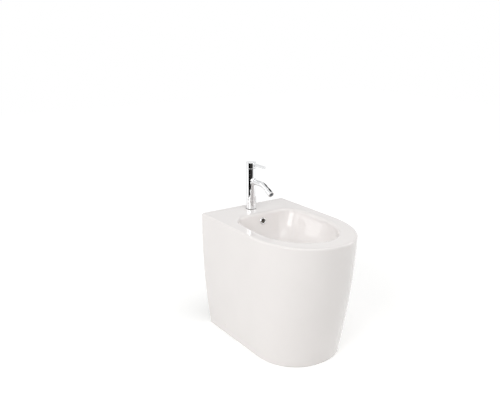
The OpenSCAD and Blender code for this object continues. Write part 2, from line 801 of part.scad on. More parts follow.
module ball_liner() color(white_plastic) at_ball() difference() {
    intersection() {
        sphere(r = liner_r);
        rod(liner_r + over, -liner_r * sin(liner_back), liner_r * sin(liner_front));
    }
    sphere(r = ball_r + run_fit);
}

module swivel_ball() color(chrome_metal) at_ball() difference() {
    union() {
        sphere(r = ball_r);
        rod(ball_neck_r, 0, web_top);
    }
    rod(flow_r, -ball_d, web_top + over);
}

module nozzle_sleeve() color(chrome_metal) at_ball() difference() {
    rod(sleeve_r, sleeve_low, sleeve_top);
    sphere(r = cup_r);
    rod(ball_neck_r, 0, web_top + over);
    rod(insert_r, web_top, sleeve_top + over);
}

aerator_bore = 6;
module aerator_seal() color(rubber) at_ball() tube(insert_r, aerator_bore, web_top, web_top + seal_t);

insert_low = web_top + seal_t;
lip_h = 1.6;
insert_top = nozzle_tip - lip_h;
insert_bore = 6.6;
face_t = 5;
jet_ring_r = 4.6;
jet_r = 0.9;
jet_mid_r = 1.4;
module aerator_insert() color(grey_plastic) at_ball() difference() {
    rod(insert_r - run_fit, insert_low, insert_top);
    rod(insert_bore, insert_low - over, insert_top - face_t);
    for (a = [0:45:315])
        rotate([0, 0, a]) translate([jet_ring_r, 0, 0]) rod(jet_r, insert_low, insert_top + over);
    rod(jet_mid_r, insert_low, insert_top + over);
}

ring_chamfer = 1;
ring_lip = 1.2;
module aerator_ring() color(chrome_metal) at_ball() difference() {
    union() {
        rod(aerator_d / 2, sleeve_top, nozzle_tip - ring_chamfer);
        translate([0, 0, nozzle_tip - ring_chamfer - eps])
            cylinder(r1 = aerator_d / 2, r2 = aerator_d / 2 - ring_chamfer, h = ring_chamfer);
    }
    rod(insert_r, sleeve_top - over, insert_top);
    rod(insert_r - ring_lip, sleeve_top - over, nozzle_tip + over);
}

// Waste: levels from the drain seat
flange_low = drain_z + seal_t;
flange_t = 2.5;
flange_top = flange_low + flange_t;
waste_low = flange_low - waste_len;
waste_wall = 3;
waste_in_r = waste_d / 2 - waste_wall;
slot_w = 12;
slot_low = boss_low + 6;
slot_high = floor_low - 5;
guide_z = slot_high - 2;
guide_t = 10;
guide_hub_r = 7;
plug_stem_d = 6;
module waste_body() color(chrome_metal) at_drain() difference() {
    union() {
        rod(flange_d / 2, flange_low, flange_top);
        rod(waste_d / 2, waste_low, flange_low + eps);
    }
    rod(waste_in_r, waste_low - over, flange_top + over);
    for (a = [0, 90]) rotate([0, 0, a])
        translate([-slot_w / 2, -waste_d, slot_low]) cube([slot_w, 2 * waste_d, slot_high - slot_low]);
}

module waste_top_gasket() color(rubber) at_drain() tube(flange_d / 2 - 1, waste_d / 2, drain_z, flange_low);

lower_gasket_h = 6;
gasket_low = boss_low - lower_gasket_h;
gasket_r = boss_d / 2 - 3;
taper_h = 3;
taper_tip = 0.2;
module waste_lower_gasket() color(rubber) at_drain() difference() {
    union() {
        rod(gasket_r, gasket_low, boss_low);
        translate([0, 0, boss_low - eps])
            cylinder(r1 = drain_d / 2 - eps, r2 = waste_d / 2 + taper_tip, h = taper_h);
    }
    rod(waste_d / 2, gasket_low - over, boss_low + taper_h + over);
}

washer_low = gasket_low - washer_t;
module waste_washer() color(steel) at_drain() tube(gasket_r, waste_d / 2, washer_low, gasket_low);

waste_nut_h = 9;
waste_nut_across = waste_d + 12.2;
module waste_nut() color(brass) at_drain()
    hex_nut(waste_d / 2, waste_nut_across, washer_low - waste_nut_h, washer_low);

guide_rim = 2;
spoke_h = 6;
module plug_guide() color(white_plastic) at_drain() difference() {
    union() {
        tube(waste_in_r, waste_in_r - guide_rim, guide_z, guide_z + guide_t);
        rod(guide_hub_r, guide_z, guide_z + guide_t);
        for (a = [0:60:120]) rotate([0, 0, a])
            translate([-guide_rim / 2, guide_rim / 2 - waste_in_r, guide_z])
                cube([guide_rim, 2 * waste_in_r - guide_rim, spoke_h]);
    }
    rod(plug_stem_d / 2 + run_fit, guide_z - over, guide_z + guide_t + over);
}

plug_low = flange_top + seal_t;
plug_rim = 1.5;
plug_crown = 3;
crown_r = (pow(plug_d / 2, 2) + pow(plug_crown, 2)) / (2 * plug_crown);
crown_half = asin(plug_d / 2 / crown_r);
module plug_cap() color(chrome_metal) at_drain() translate([0, 0, plug_low]) rotate_extrude()
    polygon(concat([[0, 0], [plug_d / 2, 0]], [for (i = [0:8]) let (a = crown_half * (1 - i / 8))
        [crown_r * sin(a), plug_rim + plug_crown - crown_r * (1 - cos(a))]]));

stop_t = 3;
stop_z = guide_z - plug_travel - 2 * stop_t;
module plug_stem() color(chrome_metal) at_drain() union() {
    rod(plug_stem_d / 2, stop_z, plug_low);
    rod(plug_stem_d / 2 + 2, stop_z, stop_z + stop_t);
}

plug_seal_in = 2;
module plug_seal() color(rubber) at_drain()
    tube(plug_d / 2 - plug_seal_in, waste_in_r + plug_seal_in, flange_top, plug_low);

// Trap: top joint, bottle, cup and outlet
joint_seal_h = 2;
pipe_r = pipe_d / 2;
lip_t = 2.5;
collar_top = waste_low - joint_seal_h;
nut_wall = 4;
nut_end = 3;
top_skirt = 13;
collar_low = collar_top - lip_t;
module trap_top_nut() color(white_plastic) at_drain()
    stepped(waste_d / 2 + nut_wall, waste_d / 2, pipe_r + free_gap, waste_low + top_skirt, collar_low,
        collar_low - nut_end);

module trap_top_seal() color(rubber) at_drain()
    tube(waste_d / 2 - free_gap, pipe_r - 1, collar_top, waste_low);

dip_up = 26;
dip_z = bottle_low + dip_up;
module trap_inlet_pipe() color(white_plastic) at_drain() difference() {
    union() {
        rod(pipe_r, dip_z, collar_top);
        rod(waste_d / 2 - free_gap, collar_low, collar_top);
    }
    rod(pipe_r - pipe_t, dip_z - over, collar_top + over);
}

bottle_r = bottle_d / 2;
bottle_t = 3;
neck_h = 14;
neck_out = 20.5;
port_len = 12;
port_reach = bottle_r + port_len;
outlet_bore = pipe_r - pipe_t;
nut_clear = 2;

// The bottle's top stays low enough for its nut to clear the nut above
head_z = min(bottle_top, collar_low - 2 * nut_end - joint_seal_h - nut_clear - neck_h);
neck_top = head_z + neck_h;
module trap_bottle() color(white_plastic) at_drain() difference() {
    union() {
        rod(bottle_r, bottle_low, head_z);
        rod(neck_out, head_z - over, neck_top);
        translate([0, 0, outlet_h]) rotate([-90, 0, 0]) rod(neck_out, 0, port_reach);
    }
    rod(bottle_r - bottle_t, bottle_low - over, head_z - bottle_t);
    rod(pipe_r + free_gap, head_z - 2 * bottle_t, neck_top + over);
    translate([0, 0, outlet_h]) rotate([-90, 0, 0]) rod(outlet_bore, 0, port_reach + over);
}

module bottle_nut() color(white_plastic) at_drain()
    stepped(neck_out + nut_wall, neck_out, pipe_r + run_fit, head_z + nut_clear, neck_top + joint_seal_h,
        neck_top + joint_seal_h + nut_end);

module bottle_seal() color(rubber) at_drain() tube(neck_out, pipe_r, neck_top, neck_top + joint_seal_h);

cup_h = 20;
rib_w = 3;
rib_out = 2;
module trap_cup() color(white_plastic) at_drain() union() {
    difference() {
        rod(bottle_r + nut_wall, bottle_low - joint_seal_h - bottle_t, bottle_low + cup_h);
        rod(bottle_r, bottle_low - joint_seal_h, bottle_low + cup_h + over);
    }
    for (a = [0:30:330]) rotate([0, 0, a]) translate([bottle_r + nut_wall - over, -rib_w / 2, bottle_low])
        cube([rib_out + over, rib_w, cup_h - rib_out]);
}

module cup_seal() color(rubber) at_drain()
    tube(bottle_r, bottle_r - bottle_t - 1, bottle_low - joint_seal_h, bottle_low);

// Frame on the outlet, with +Z towards the wall from the bottle's axis
module at_outlet() {
    translate([0, drain_y, outlet_h]) rotate([-90, 0, 0]) children();
}
outlet_collar = port_reach + joint_seal_h;
wall_gap = 2;
outlet_len = wall_y - drain_y - wall_gap;
outlet_lip = outlet_collar + lip_t;
bead_low = outlet_lip + 4;
bead_w = 3;
bead_h = 2;
module trap_outlet_pipe() color(white_plastic) at_outlet() difference() {
    union() {
        rod(pipe_r, outlet_collar, outlet_len);
        rod(neck_out - free_gap, outlet_collar, outlet_lip);
        rod(pipe_r + bead_h, bead_low, bead_low + bead_w);
    }
    rod(outlet_bore, outlet_collar - over, outlet_len + over);
}

module outlet_seal() color(rubber) at_outlet()
    tube(neck_out - free_gap, outlet_bore, port_reach, outlet_collar);

outlet_skirt = 9;
module outlet_nut() color(white_plastic) at_outlet()
    stepped(neck_out + nut_wall, neck_out, pipe_r + run_fit, port_reach - outlet_skirt, outlet_lip,
        outlet_lip + nut_end);

// Floor brackets behind the side walls
tab_gap = 0.85;
tab_in = wall_in + tab_gap;
tab_x = half_width(fix_h) - tab_in / cos(fix_slope) - fix_h * tan(fix_slope);
hole_x = floor_hole_gap / 2;
foot_in = 6;
foot_end = hole_x - floor_hole_d - foot_in;
tab_across = bracket_t / cos(fix_slope);
module bracket() color(steel) difference() {
    translate([0, fix_y + bracket_w / 2, 0]) rotate([90, 0, 0]) linear_extrude(bracket_w) polygon([
        [foot_end, 0],
        [tab_x, 0],
        [tab_x + bracket_h * tan(fix_slope), bracket_h],
        [tab_x + bracket_h * tan(fix_slope) - tab_across, bracket_h],
        [tab_x + bracket_t * tan(fix_slope) - tab_across, bracket_t],
        [foot_end, bracket_t]]);
    translate([hole_x, fix_y, 0]) rod(floor_hole_d / 2, -over, bracket_t + over);
    at_right_screw() rod(side_screw_d / 2, -2 * wall_t - bracket_t, 0);
}
module right_bracket() bracket();
module left_bracket() mirror([1, 0, 0]) bracket();

head_low = -cap_t - cap_gap - head_h;
head_top = head_low + head_h;
cap_peg_r = 1.6;
cap_peg_in = 2;
module bracket_screws() color(steel) at_side_screws() difference() {
    union() {
        rod(head_d / 2, head_low, head_top);
        rod(side_screw_d / 2, head_low - side_screw_len, head_low + eps);
    }
    rod(cap_peg_r + run_fit, head_top - cap_peg_in, head_top + over);
}

module screw_caps() color(glaze) at_side_screws() union() {
    rod(cap_d / 2, -cap_t, 0);
    rod(cap_peg_r, head_top - cap_peg_in, -cap_t + eps);
}

ceramic_body();
overflow_ring();
tap_body();
foot_gasket();
fixing_stud();
horseshoe_gasket();
horseshoe_washer();
stud_nut();
cartridge_base();
cartridge_seals();
cartridge_housing();
fixed_disc();
moving_disc();
cartridge_turret();
tilt_pin();
cartridge_stem();
cartridge_nut();
dome_ring();
handle_hub();
lever_pin();
handle_grub_screw();
spout_tube();
nozzle_socket();
ball_liner();
swivel_ball();
nozzle_sleeve();
aerator_seal();
aerator_insert();
aerator_ring();
waste_body();
waste_top_gasket();
waste_lower_gasket();
waste_washer();
waste_nut();
plug_guide();
plug_cap();
plug_stem();
plug_seal();
trap_top_nut();
trap_top_seal();
trap_inlet_pipe();
trap_bottle();
bottle_nut();
bottle_seal();
trap_cup();
cup_seal();
trap_outlet_pipe();
outlet_nut();
outlet_seal();
left_bracket();
right_bracket();
bracket_screws();
screw_caps();
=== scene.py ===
import json
import math

import bmesh
import bpy
from mathutils import Matrix, Vector


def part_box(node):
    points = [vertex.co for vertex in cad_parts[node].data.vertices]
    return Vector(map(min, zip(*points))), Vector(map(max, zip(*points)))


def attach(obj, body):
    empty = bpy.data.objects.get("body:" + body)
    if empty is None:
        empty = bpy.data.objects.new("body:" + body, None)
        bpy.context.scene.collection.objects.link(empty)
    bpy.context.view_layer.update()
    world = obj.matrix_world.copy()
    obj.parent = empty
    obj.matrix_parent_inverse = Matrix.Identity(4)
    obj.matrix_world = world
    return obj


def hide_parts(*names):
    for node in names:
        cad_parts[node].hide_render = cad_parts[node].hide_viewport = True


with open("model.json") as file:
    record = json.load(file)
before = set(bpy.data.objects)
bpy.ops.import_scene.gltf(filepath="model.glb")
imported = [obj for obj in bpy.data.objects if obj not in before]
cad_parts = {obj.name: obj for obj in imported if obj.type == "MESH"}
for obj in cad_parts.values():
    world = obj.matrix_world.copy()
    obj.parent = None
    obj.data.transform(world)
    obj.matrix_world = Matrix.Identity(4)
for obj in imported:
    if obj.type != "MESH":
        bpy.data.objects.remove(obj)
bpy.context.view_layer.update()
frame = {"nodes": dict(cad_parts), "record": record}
nodes = frame["nodes"]
print("frame loaded:", len(nodes), "nodes")

mm = 0.001  # all sizes below are millimetres


# tools for colours, node trees and meshes

def linear(code):  # sRGB hex to linear
    parts = [int(code[i:i + 2], 16) / 255 for i in (1, 3, 5)]
    return [p / 12.92 if p <= 0.04045 else ((p + 0.055) / 1.055) ** 2.4 for p in parts] + [1]


def addNode(tree, kind, settings={}, links={}):  # in links, a node stands for its first output
    node = tree.nodes.new("ShaderNode" + kind)
    for name, value in settings.items():
        if isinstance(name, int) or name in node.inputs:
            node.inputs[name].default_value = value
        else:
            setattr(node, name, value)
    for name, source in links.items():
        tree.links.new(source.outputs[0] if hasattr(source, "outputs") else source, node.inputs[name])
    return node


def perMetre(size):  # texture scale for a pattern of that size in millimetres
    return 1 / (size * mm)


def emptyTree(name):
    material = bpy.data.materials.new(name)
    material.use_nodes = True
    material.node_tree.nodes.clear()
    return material, material.node_tree


def mix(a, b, t):
    return a + (b - a) * t


def steps(count, first=0):
    return [i / count for i in range(first, count + 1)]


def fullTurn(sides):
    return [2 * math.pi * i / sides for i in range(sides)]


def turned(points, bends=5):  # profile points (r, z[, rounding]) with their corners rounded
    line = []
    for i, point in enumerate(points):
        here = Vector(point[:2])
        radius = point[2] if len(point) > 2 else 0
        if not radius:
            line.append(here)
            continue
        before = Vector(points[i - 1][:2]) - here
        after = Vector(points[(i + 1) % len(points)][:2]) - here
        half = before.angle(after) / 2
        reach = min(radius / math.tan(half), 0.49 * before.length, 0.49 * after.length)
        bend = reach * math.tan(half)
        middle = here + (before.normalized() + after.normalized()).normalized() * bend / math.sin(half)
        first = here + before.normalized() * reach - middle
        last = here + after.normalized() * reach - middle
        sweep = first.angle_signed(last)
        for s in steps(bends):
            a = -sweep * s
            line.append(middle + Vector((first.x * math.cos(a) - first.y * math.sin(a),
                                         first.x * math.sin(a) + first.y * math.cos(a))))
    return line


def loft(rings, closed=True):  # skin over rings of equal length; an open one gets both ends filled
    shape = bmesh.new()
    layers = [[shape.verts.new(point) for point in ring] for ring in rings]
    for j in range(len(layers) if closed else len(layers) - 1):
        near, far = layers[j], layers[(j + 1) % len(layers)]
        for i in range(len(near)):
            k = (i + 1) % len(near)
            shape.faces.new((near[i], near[k], far[k], far[i]))
    bmesh.ops.remove_doubles(shape, verts=shape.verts, dist=1e-4)
    if not closed:
        bmesh.ops.holes_fill(shape, edges=[e for e in shape.edges if e.is_boundary])
    bmesh.ops.recalc_face_normals(shape, faces=shape.faces)
    return shape


def revolve(profile, sides=96, swell=lambda a, r, z: 0):  # swell adds to the radius by angle and height
    return loft([[((r + swell(a, r, z)) * math.cos(a), (r + swell(a, r, z)) * math.sin(a), z)
                  for a in fullTurn(sides)] for r, z in profile])


def rod(radius, low, high, sides=48):
    return revolve([(0, low), (radius, low), (radius, high), (0, high)], sides)


def box(low, high):
    shape = bmesh.new()
    bmesh.ops.create_cube(shape, size=1)
    middle, size = (Vector(low) + Vector(high)) / 2, Vector(high) - Vector(low)
    fit = Matrix.Translation(middle) @ Matrix.Diagonal(size).to_4x4()
    bmesh.ops.transform(shape, matrix=fit, verts=shape.verts)
    return shape


def ridges(crest, root, low, high, pitch):  # parallel ridges that stand for a thread
    count = int((high - low) / pitch + 0.001)
    return [(r, low + pitch * (i + part)) for i in range(count) for r, part in ((crest, 0), (root, 0.5))]


def flare(edge, top, degrees):  # a rounded mouth in steps: how much wider, at what height
    return [(edge * (1 - math.sin(a)), top - edge + edge * math.cos(a)) for a in map(math.radians, degrees)]


def toObject(name, shape, place=Matrix()):  # millimetre bmesh to an object in metres, in the row frame
    bmesh.ops.transform(shape, matrix=Matrix.Scale(mm, 4) @ place, verts=shape.verts)
    mesh = bpy.data.meshes.new(name)
    shape.to_mesh(mesh)
    shape.free()
    piece = bpy.data.objects.new(name, mesh)
    bpy.context.scene.collection.objects.link(piece)
    return piece


def evaluated(piece):  # keeps what the modifiers make
    made = bpy.data.meshes.new_from_object(piece.evaluated_get(bpy.context.evaluated_depsgraph_get()))
    old = piece.data
    piece.modifiers.clear()
    piece.data = made
    made.name = old.name
    bpy.data.meshes.remove(old)


def combine(piece, shape, place=Matrix(), operation="DIFFERENCE", layer=0):
    tool = toObject("tool", shape, place)
    for face in tool.data.polygons:
        face.material_index = layer
    for material in piece.data.materials:
        tool.data.materials.append(material)
    change = piece.modifiers.new("change", "BOOLEAN")
    change.operation, change.solver, change.object = operation, "EXACT", tool
    evaluated(piece)
    scrap = tool.data
    bpy.data.objects.remove(tool)
    bpy.data.meshes.remove(scrap)


def finished(piece, slot, node, body="pedestal", crease=32):  # shading, finish and place in the frame
    if not piece.data.materials:
        piece.data.materials.append(finishes[slot])
    piece.data.shade_smooth()
    piece.data.set_sharp_from_angle(angle=math.radians(crease))
    even = piece.modifiers.new("even", "WEIGHTED_NORMAL")
    even.keep_sharp, even.weight = True, 80
    evaluated(piece)
    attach(piece, body)
    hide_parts(node)
    return piece


def plain(name, shape, place, slot, node, body="pedestal", crease=32):  # a piece with nothing cut or added
    return finished(toObject(name, shape, place), slot, node, body, crease)


# finishes: a broad cloud drifts between two tones, a finer pattern gives the relief

def surface(look):
    material, tree = emptyTree(look["name"])
    place = addNode(tree, "TexCoord").outputs["Object"]
    cloud = addNode(tree, "TexNoise", {"Scale": perMetre(look["cloud"]), "Detail": look["detail"]},
                    {"Vector": place})
    light, dark = look["tones"]
    tone = addNode(tree, "Mix", {"data_type": "RGBA", 6: linear(light), 7: linear(dark)}, {0: cloud})
    links, glossBy = {"Base Color": tone.outputs[2]}, cloud
    if "grain" in look:
        grain = addNode(tree, look["pattern"],
                        {"Scale": perMetre(look["grain"]), "Detail": look["grainDetail"]}, {"Vector": place})
        depth = {"Strength": look["strength"], "Distance": look["relief"] * mm}
        links["Normal"] = addNode(tree, "Bump", depth, {"Height": grain})
        glossBy = grain if look["glossBy"] == "grain" else cloud
    smooth, rough = look["rough"]
    links["Roughness"] = addNode(tree, "MapRange", {"To Min": smooth, "To Max": rough}, {"Value": glossBy})
    shader = addNode(tree, "BsdfPrincipled", look["shading"], links)
    addNode(tree, "OutputMaterial", {}, {"Surface": shader})
    return material


def bareChina():  # fired body where the glaze was wiped off: matt, chalky, with fine grog specks
    look = {"tones": ("#DDD7CC", "#B9B0A2"), "grain": 1.6, "patch": 60, "relief": 0.15, "rough": 0.85}
    material, tree = emptyTree("unglazed china")
    place = addNode(tree, "TexCoord").outputs["Object"]
    grain = addNode(tree, "TexNoise", {"Scale": perMetre(look["grain"]), "Detail": 4}, {"Vector": place})
    patch = addNode(tree, "TexNoise", {"Scale": perMetre(look["patch"])}, {"Vector": place})
    blot = addNode(tree, "Math", {"operation": "MULTIPLY"}, {0: grain, 1: patch})
    light, speck = look["tones"]
    tone = addNode(tree, "Mix", {"data_type": "RGBA", 6: linear(light), 7: linear(speck)}, {0: blot})
    relief = addNode(tree, "Bump", {"Strength": 0.6, "Distance": look["relief"] * mm}, {"Height": grain})
    shader = addNode(tree, "BsdfPrincipled", {"Roughness": look["rough"], "IOR": 1.5},
                     {"Base Color": tone.outputs[2], "Normal": relief})
    addNode(tree, "OutputMaterial", {}, {"Surface": shader})
    return material


cast = {"cloud": 25, "detail": 3, "pattern": "TexNoise", "grainDetail": 2, "strength": 0.4,
        "glossBy": "grain"}  # polymers and rubber from a mould, whose skin sets relief and gloss
metal = {"detail": 4, "pattern": "TexVoronoi", "grainDetail": 0, "strength": 0.5,
         "glossBy": "cloud", "shading": {"Metallic": 1}}
looks = {
    "glaze": {"name": "glazed vitreous china", "tones": ("#ECE8E6", "#E8E4E2"), "cloud": 110, "detail": 3,
              "pattern": "TexNoise", "grain": 16, "grainDetail": 1, "strength": 0.5, "relief": 0.02,
              "rough": (0.03, 0.07), "glossBy": "cloud",
              "shading": {"IOR": 1.5}},  # warm white, wet mirror gloss, faint ripple
    "chrome": {**metal, "name": "polished chrome plate", "tones": ("#E8E8E9", "#E2E3E4"), "cloud": 40,
               "rough": (0.02, 0.05)},  # bright mirror, faint wipe marks
    "rubber": {**cast, "name": "moulded epdm", "tones": ("#26272A", "#1E1F21"), "grain": 0.8, "relief": 0.02,
               "rough": (0.5, 0.7), "shading": {"IOR": 1.5}},  # matt black, dry bloom
    "steel": {**metal, "name": "zinc plated steel", "tones": ("#B4B7BA", "#A0A3A6"), "cloud": 12, "grain": 4,
              "relief": 0.01, "rough": (0.25, 0.42)},  # grey, soft spangle
    "brass": {**metal, "name": "turned brass", "tones": ("#C9AA62", "#B8974E"), "cloud": 15, "grain": 0.8,
              "relief": 0.004, "rough": (0.18, 0.32)},  # warm, fine tool marks
    "grey_plastic": {**cast, "name": "grey acetal", "tones": ("#8E9296", "#83878B"), "grain": 0.7,
                     "relief": 0.008, "rough": (0.3, 0.45), "shading": {"IOR": 1.48}},  # waxy, even
    "white_plastic": {**cast, "name": "white polypropylene", "tones": ("#F1F1EE", "#E9E9E5"), "grain": 0.9,
                      "relief": 0.01, "rough": (0.28, 0.4),
                      "shading": {"IOR": 1.49, "Subsurface Weight": 0.15,
                                  "Subsurface Scale": 2 * mm}},  # soft sheen, a little milky
    "disc_ceramic": {**cast, "name": "lapped alumina", "tones": ("#E7E2D6", "#DED8CA"), "grain": 0.4,
                     "relief": 0.001, "rough": (0.08, 0.14), "shading": {"IOR": 1.76}},  # ivory, glassy
}
finishes = {slot: surface(look) for slot, look in looks.items()}
biscuit = bareChina()
print("finishes made:", len(finishes) + 1)


# glazed pedestal

chinaLow, chinaHigh = [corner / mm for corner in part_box("ceramic_body")]
china = {
    "sideTaper": 29, "sideBow": 7 / 3, "frontTaper": 68, "frontBow": 1.4, "frontCurve": 229,
    "frontPower": 2.12, "curveShare": 1.2, "corner": 12, "wall": 12, "deck": 20, "rimRound": 7,
    "footRound": 3, "rimSide": 41, "rimFront": 55, "rimBack": 114, "lipRound": 12, "tapHole": 33,
    "tapEdge": 1,
}
bowl = {"depth": 125, "curve": 172, "corner": 52, "narrow": 11, "wall": 10, "power": 2.6, "draft": 0.2,
        "sideDraft": 0.38, "seatBlend": 8, "backStart": 73}
drain = {"back": 255, "hole": 46, "seat": 68, "edge": 1.5, "bevel": 0.4, "boss": 72, "bossLength": 23,
         "bossEdge": 1}
duct = {"drop": 28, "hole": 18, "holeEdge": 1.5, "width": 36, "depth": 9, "skin": 7, "lap": 0.5, "crown": 0.6,
        "bossLap": 24}
service = {"width": 210, "height": 300, "edge": 3}
sideHole = {"height": 32, "back": 118, "cap": 14.6, "capDepth": 5.8, "screw": 3.5, "edge": 0.6, "reach": 24}
grid = {"arc": 120, "side": 16, "corner": 8, "back": 36, "wall": 44, "round": 8, "deck": 6, "bowl": 60,
        "under": 20, "cavity": 12}
bodyWidth, bodyHeight = chinaHigh.x - chinaLow.x, chinaHigh.z
wallY, frontY, deckZ = chinaHigh.y, chinaLow.y, chinaHigh.z
underDeck = deckZ - china["deck"]
bowlHalf = bodyWidth / 2 - china["rimSide"] - china["lipRound"] / 2
bowlFront = frontY + china["rimFront"] + china["lipRound"] / 2
bowlBack = wallY - china["rimBack"] - china["lipRound"] / 2
bowlMid = bowlFront + bowl["curve"]
seatRadius = drain["seat"] / 2
drainShare = seatRadius / (bowlHalf + seatRadius)
drainY, drainZ = wallY - drain["back"], deckZ - bowl["depth"]
floorLow = drainZ - bowl["wall"]
bossLow = floorLow - drain["bossLength"]


def signedPower(v, p):
    return math.copysign(abs(v) ** p, v)


def rise(z):
    return max(0.0, 1 - z / (bodyHeight - china["rimRound"]))


def halfWidth(z):
    return bodyWidth / 2 - china["sideTaper"] * rise(z) ** china["sideBow"]


def outline(half, front, back, curve, power, corner):  # anticlockwise from the left end of the curved front
    points = []
    for s in steps(grid["arc"]):
        a = math.pi * (1 + s)
        points.append((half * signedPower(math.cos(a), 2 / power),
                       front + curve * (1 - signedPower(-math.sin(a), 2 / power))))
    points += [(half, mix(front + curve, back - corner, s)) for s in steps(grid["side"], 1)]
    for s in steps(grid["corner"], 1):
        a = math.pi / 2 * s
        points.append((half - corner + corner * math.cos(a), back - corner + corner * math.sin(a)))
    points += [(mix(half - corner, corner - half, s), back) for s in steps(grid["back"], 1)]
    for s in steps(grid["corner"], 1):
        a = math.pi / 2 * (1 + s)
        points.append((corner - half + corner * math.cos(a), back - corner + corner * math.sin(a)))
    return points + [(-half, mix(back - corner, front + curve, s)) for s in steps(grid["side"], 1)[:-1]]


def bodyRing(z, inset):
    frontIn = china["frontTaper"] * rise(z) ** china["frontBow"]
    return [(x, y, z) for x, y in outline(
        halfWidth(z) - inset, frontY + frontIn + inset, wallY - inset,
        china["frontCurve"] - china["curveShare"] * frontIn - inset, china["frontPower"],
        max(china["corner"] - inset, china["footRound"]))]


def drawnIn(x, y):  # the mouth narrows a little towards its rear corners
    return x - x * bowl["narrow"] / bowlHalf * (max(0, y - bowlMid) / (bowlBack - bowlMid)) ** 2, y


def mouth(grow):
    return [drawnIn(x, y) for x, y in outline(bowlHalf + grow, bowlFront - grow, bowlBack + grow,
                                              bowl["curve"] + grow, 2, bowl["corner"] + grow)]


def sink(t):  # the bowl's section is a superellipse; t runs from 0 at the lip to 90 at the drain
    return math.sin(math.radians(t)) ** (2 / bowl["power"])


def share(t, draft=bowl["draft"]):
    a = max(math.cos(math.radians(t)), 0) ** (2 / bowl["power"])
    return drainShare + (1 - drainShare) * a * (1 - draft * sink(t))


def fall(t):
    return china["lipRound"] + (bowl["depth"] - china["lipRound"]) * sink(t)


def depthAngle(depth):  # the section's angle at a depth below the deck
    deep = (depth - china["lipRound"]) / (bowl["depth"] - china["lipRound"])
    return math.degrees(math.asin(deep ** (bowl["power"] / 2)))


def slope(t):
    low, high = max(t - 1, 0), min(t + 1, 90)
    return Vector((bowlHalf * (share(high) - share(low)), fall(low) - fall(high))).normalized()


mouthLine = [Vector(point) - Vector((0, drainY)) for point in mouth(0)]


def bowlRing(t, off):
    n, ring = slope(t), []
    for x, y in mouthLine:
        spot = Vector((x * share(t, bowl["sideDraft"]), y * share(t)))
        spot = spot.normalized() * (mix(spot.length, seatRadius, sink(t) ** bowl["seatBlend"]) - off * n.y)
        ring.append((spot.x, spot.y + drainY, deckZ - fall(t) + off * n.x))
    return ring


def drainRing(radius, z):
    spots = [point.normalized() * radius for point in mouthLine]
    return [(spot.x, spot.y + drainY, z) for spot in spots]


def between(near, far, part):
    return [tuple(mix(Vector(a), Vector(b), part)) for a, b in zip(near, far)]


def chinaRings():  # inner foot, outside, rim, lip, bowl, drain, boss, back of the bowl, cavity
    foot, rim, lip, wall = china["footRound"], china["rimRound"], china["lipRound"], china["wall"]
    rounds = [(math.sin(math.pi / 2 * s), math.cos(math.pi / 2 * s)) for s in steps(grid["round"])]
    rings = [bodyRing(0, wall)]
    rings += [bodyRing(foot * (1 - c), foot * (1 - s)) for s, c in rounds[:-1]]
    rings += [bodyRing(mix(foot, deckZ - rim, s), 0) for s in steps(grid["wall"])]
    rings += [bodyRing(deckZ - rim + rim * s, rim * (1 - c)) for s, c in rounds[1:]]
    rimEdge = rings[-1]
    lipRings = [[(x, y, deckZ - lip + lip * c) for x, y in mouth(lip * (1 - s))] for s, c in rounds[:-1]]
    rings += [between(rimEdge, lipRings[0], s) for s in [0.04] + steps(grid["deck"])[1:-1] + [0.96]]
    rings += lipRings
    rings += [bowlRing(90 * s, 0) for s in steps(grid["bowl"])]
    hole, boss, edge = drain["hole"] / 2, drain["boss"] / 2, drain["bossEdge"]
    mouthEdge, bevel = drain["edge"], drain["bevel"]
    rings += [drainRing(hole + mouthEdge, drainZ), drainRing(hole + bevel, drainZ - bevel),
              drainRing(hole, drainZ - mouthEdge)]
    bareStart = len(rings)
    rings += [drainRing(hole, mix(drainZ, bossLow, s)) for s in (0.3, 0.6, 1)]
    rings += [drainRing(boss - edge, bossLow), drainRing(boss, bossLow + edge),
              drainRing(boss, floorLow - 2 * edge), drainRing(boss + edge, floorLow)]
    backEnd = depthAngle(china["deck"])
    rings += [bowlRing(mix(bowl["backStart"], backEnd, s), bowl["wall"]) for s in steps(grid["under"])]
    rings.append([(x, y, underDeck) for x, y, z in rings[-1]])
    wallTop = bodyRing(underDeck, wall)
    rings += [between(rings[-1], wallTop, s) for s in (0.05, 0.5, 0.95)]
    rings += [bodyRing(underDeck * (1 - s), wall) for s in steps(grid["cavity"])[:-1]]
    return rings, bareStart


def rearReach(t):
    return mix((bowlBack - drainY) * share(t), seatRadius, sink(t) ** bowl["seatBlend"])


def rearLine(off, start, end, count=20):  # the bowl's section at its rear middle, moved out through the wall
    line = []
    for s in steps(count):
        t = mix(start, end, s)
        n = slope(t)
        line.append((drainY + rearReach(t) - off * n.y, deckZ - fall(t) + off * n.x))
    return line


def slab(width, near, far, start, end):  # follows the bowl's rear wall between two depths
    line = rearLine(near, start, end) + rearLine(far, start, end)[::-1]
    return loft([[(x, y, z) for y, z in line] for x in (-width / 2, width / 2)], closed=False)


def flaredDrill(radius, low, high, edge):  # leaves the mouth at its top rounded
    arc = [(radius + wider, z) for wider, z in flare(edge, high, range(8, 91, 12))]
    return revolve([(0, low), (radius, low)] + arc[::-1] + [(radius + edge, high + 3), (0, high + 3)], 64)


def serviceOpening():  # the hole in the back, with its outer edge rounded
    half, top, edge = service["width"] / 2, service["height"], service["edge"]
    levels = [(edge, wallY + edge)] + flare(edge, wallY, (8, 20, 35, 50, 70, 90))
    levels.append((0, wallY - 2 * china["wall"]))
    rings = []
    for grow, y in levels:
        w, h = half + grow, top + grow
        rings.append([(-w, y, -5), (w, y, -5), (w, y, h), (-w, y, h)])
    return loft(rings, closed=False)


sideZ, sideY = sideHole["height"], wallY - sideHole["back"]
sideLean = math.atan((halfWidth(sideZ + 1) - halfWidth(sideZ - 1)) / 2)


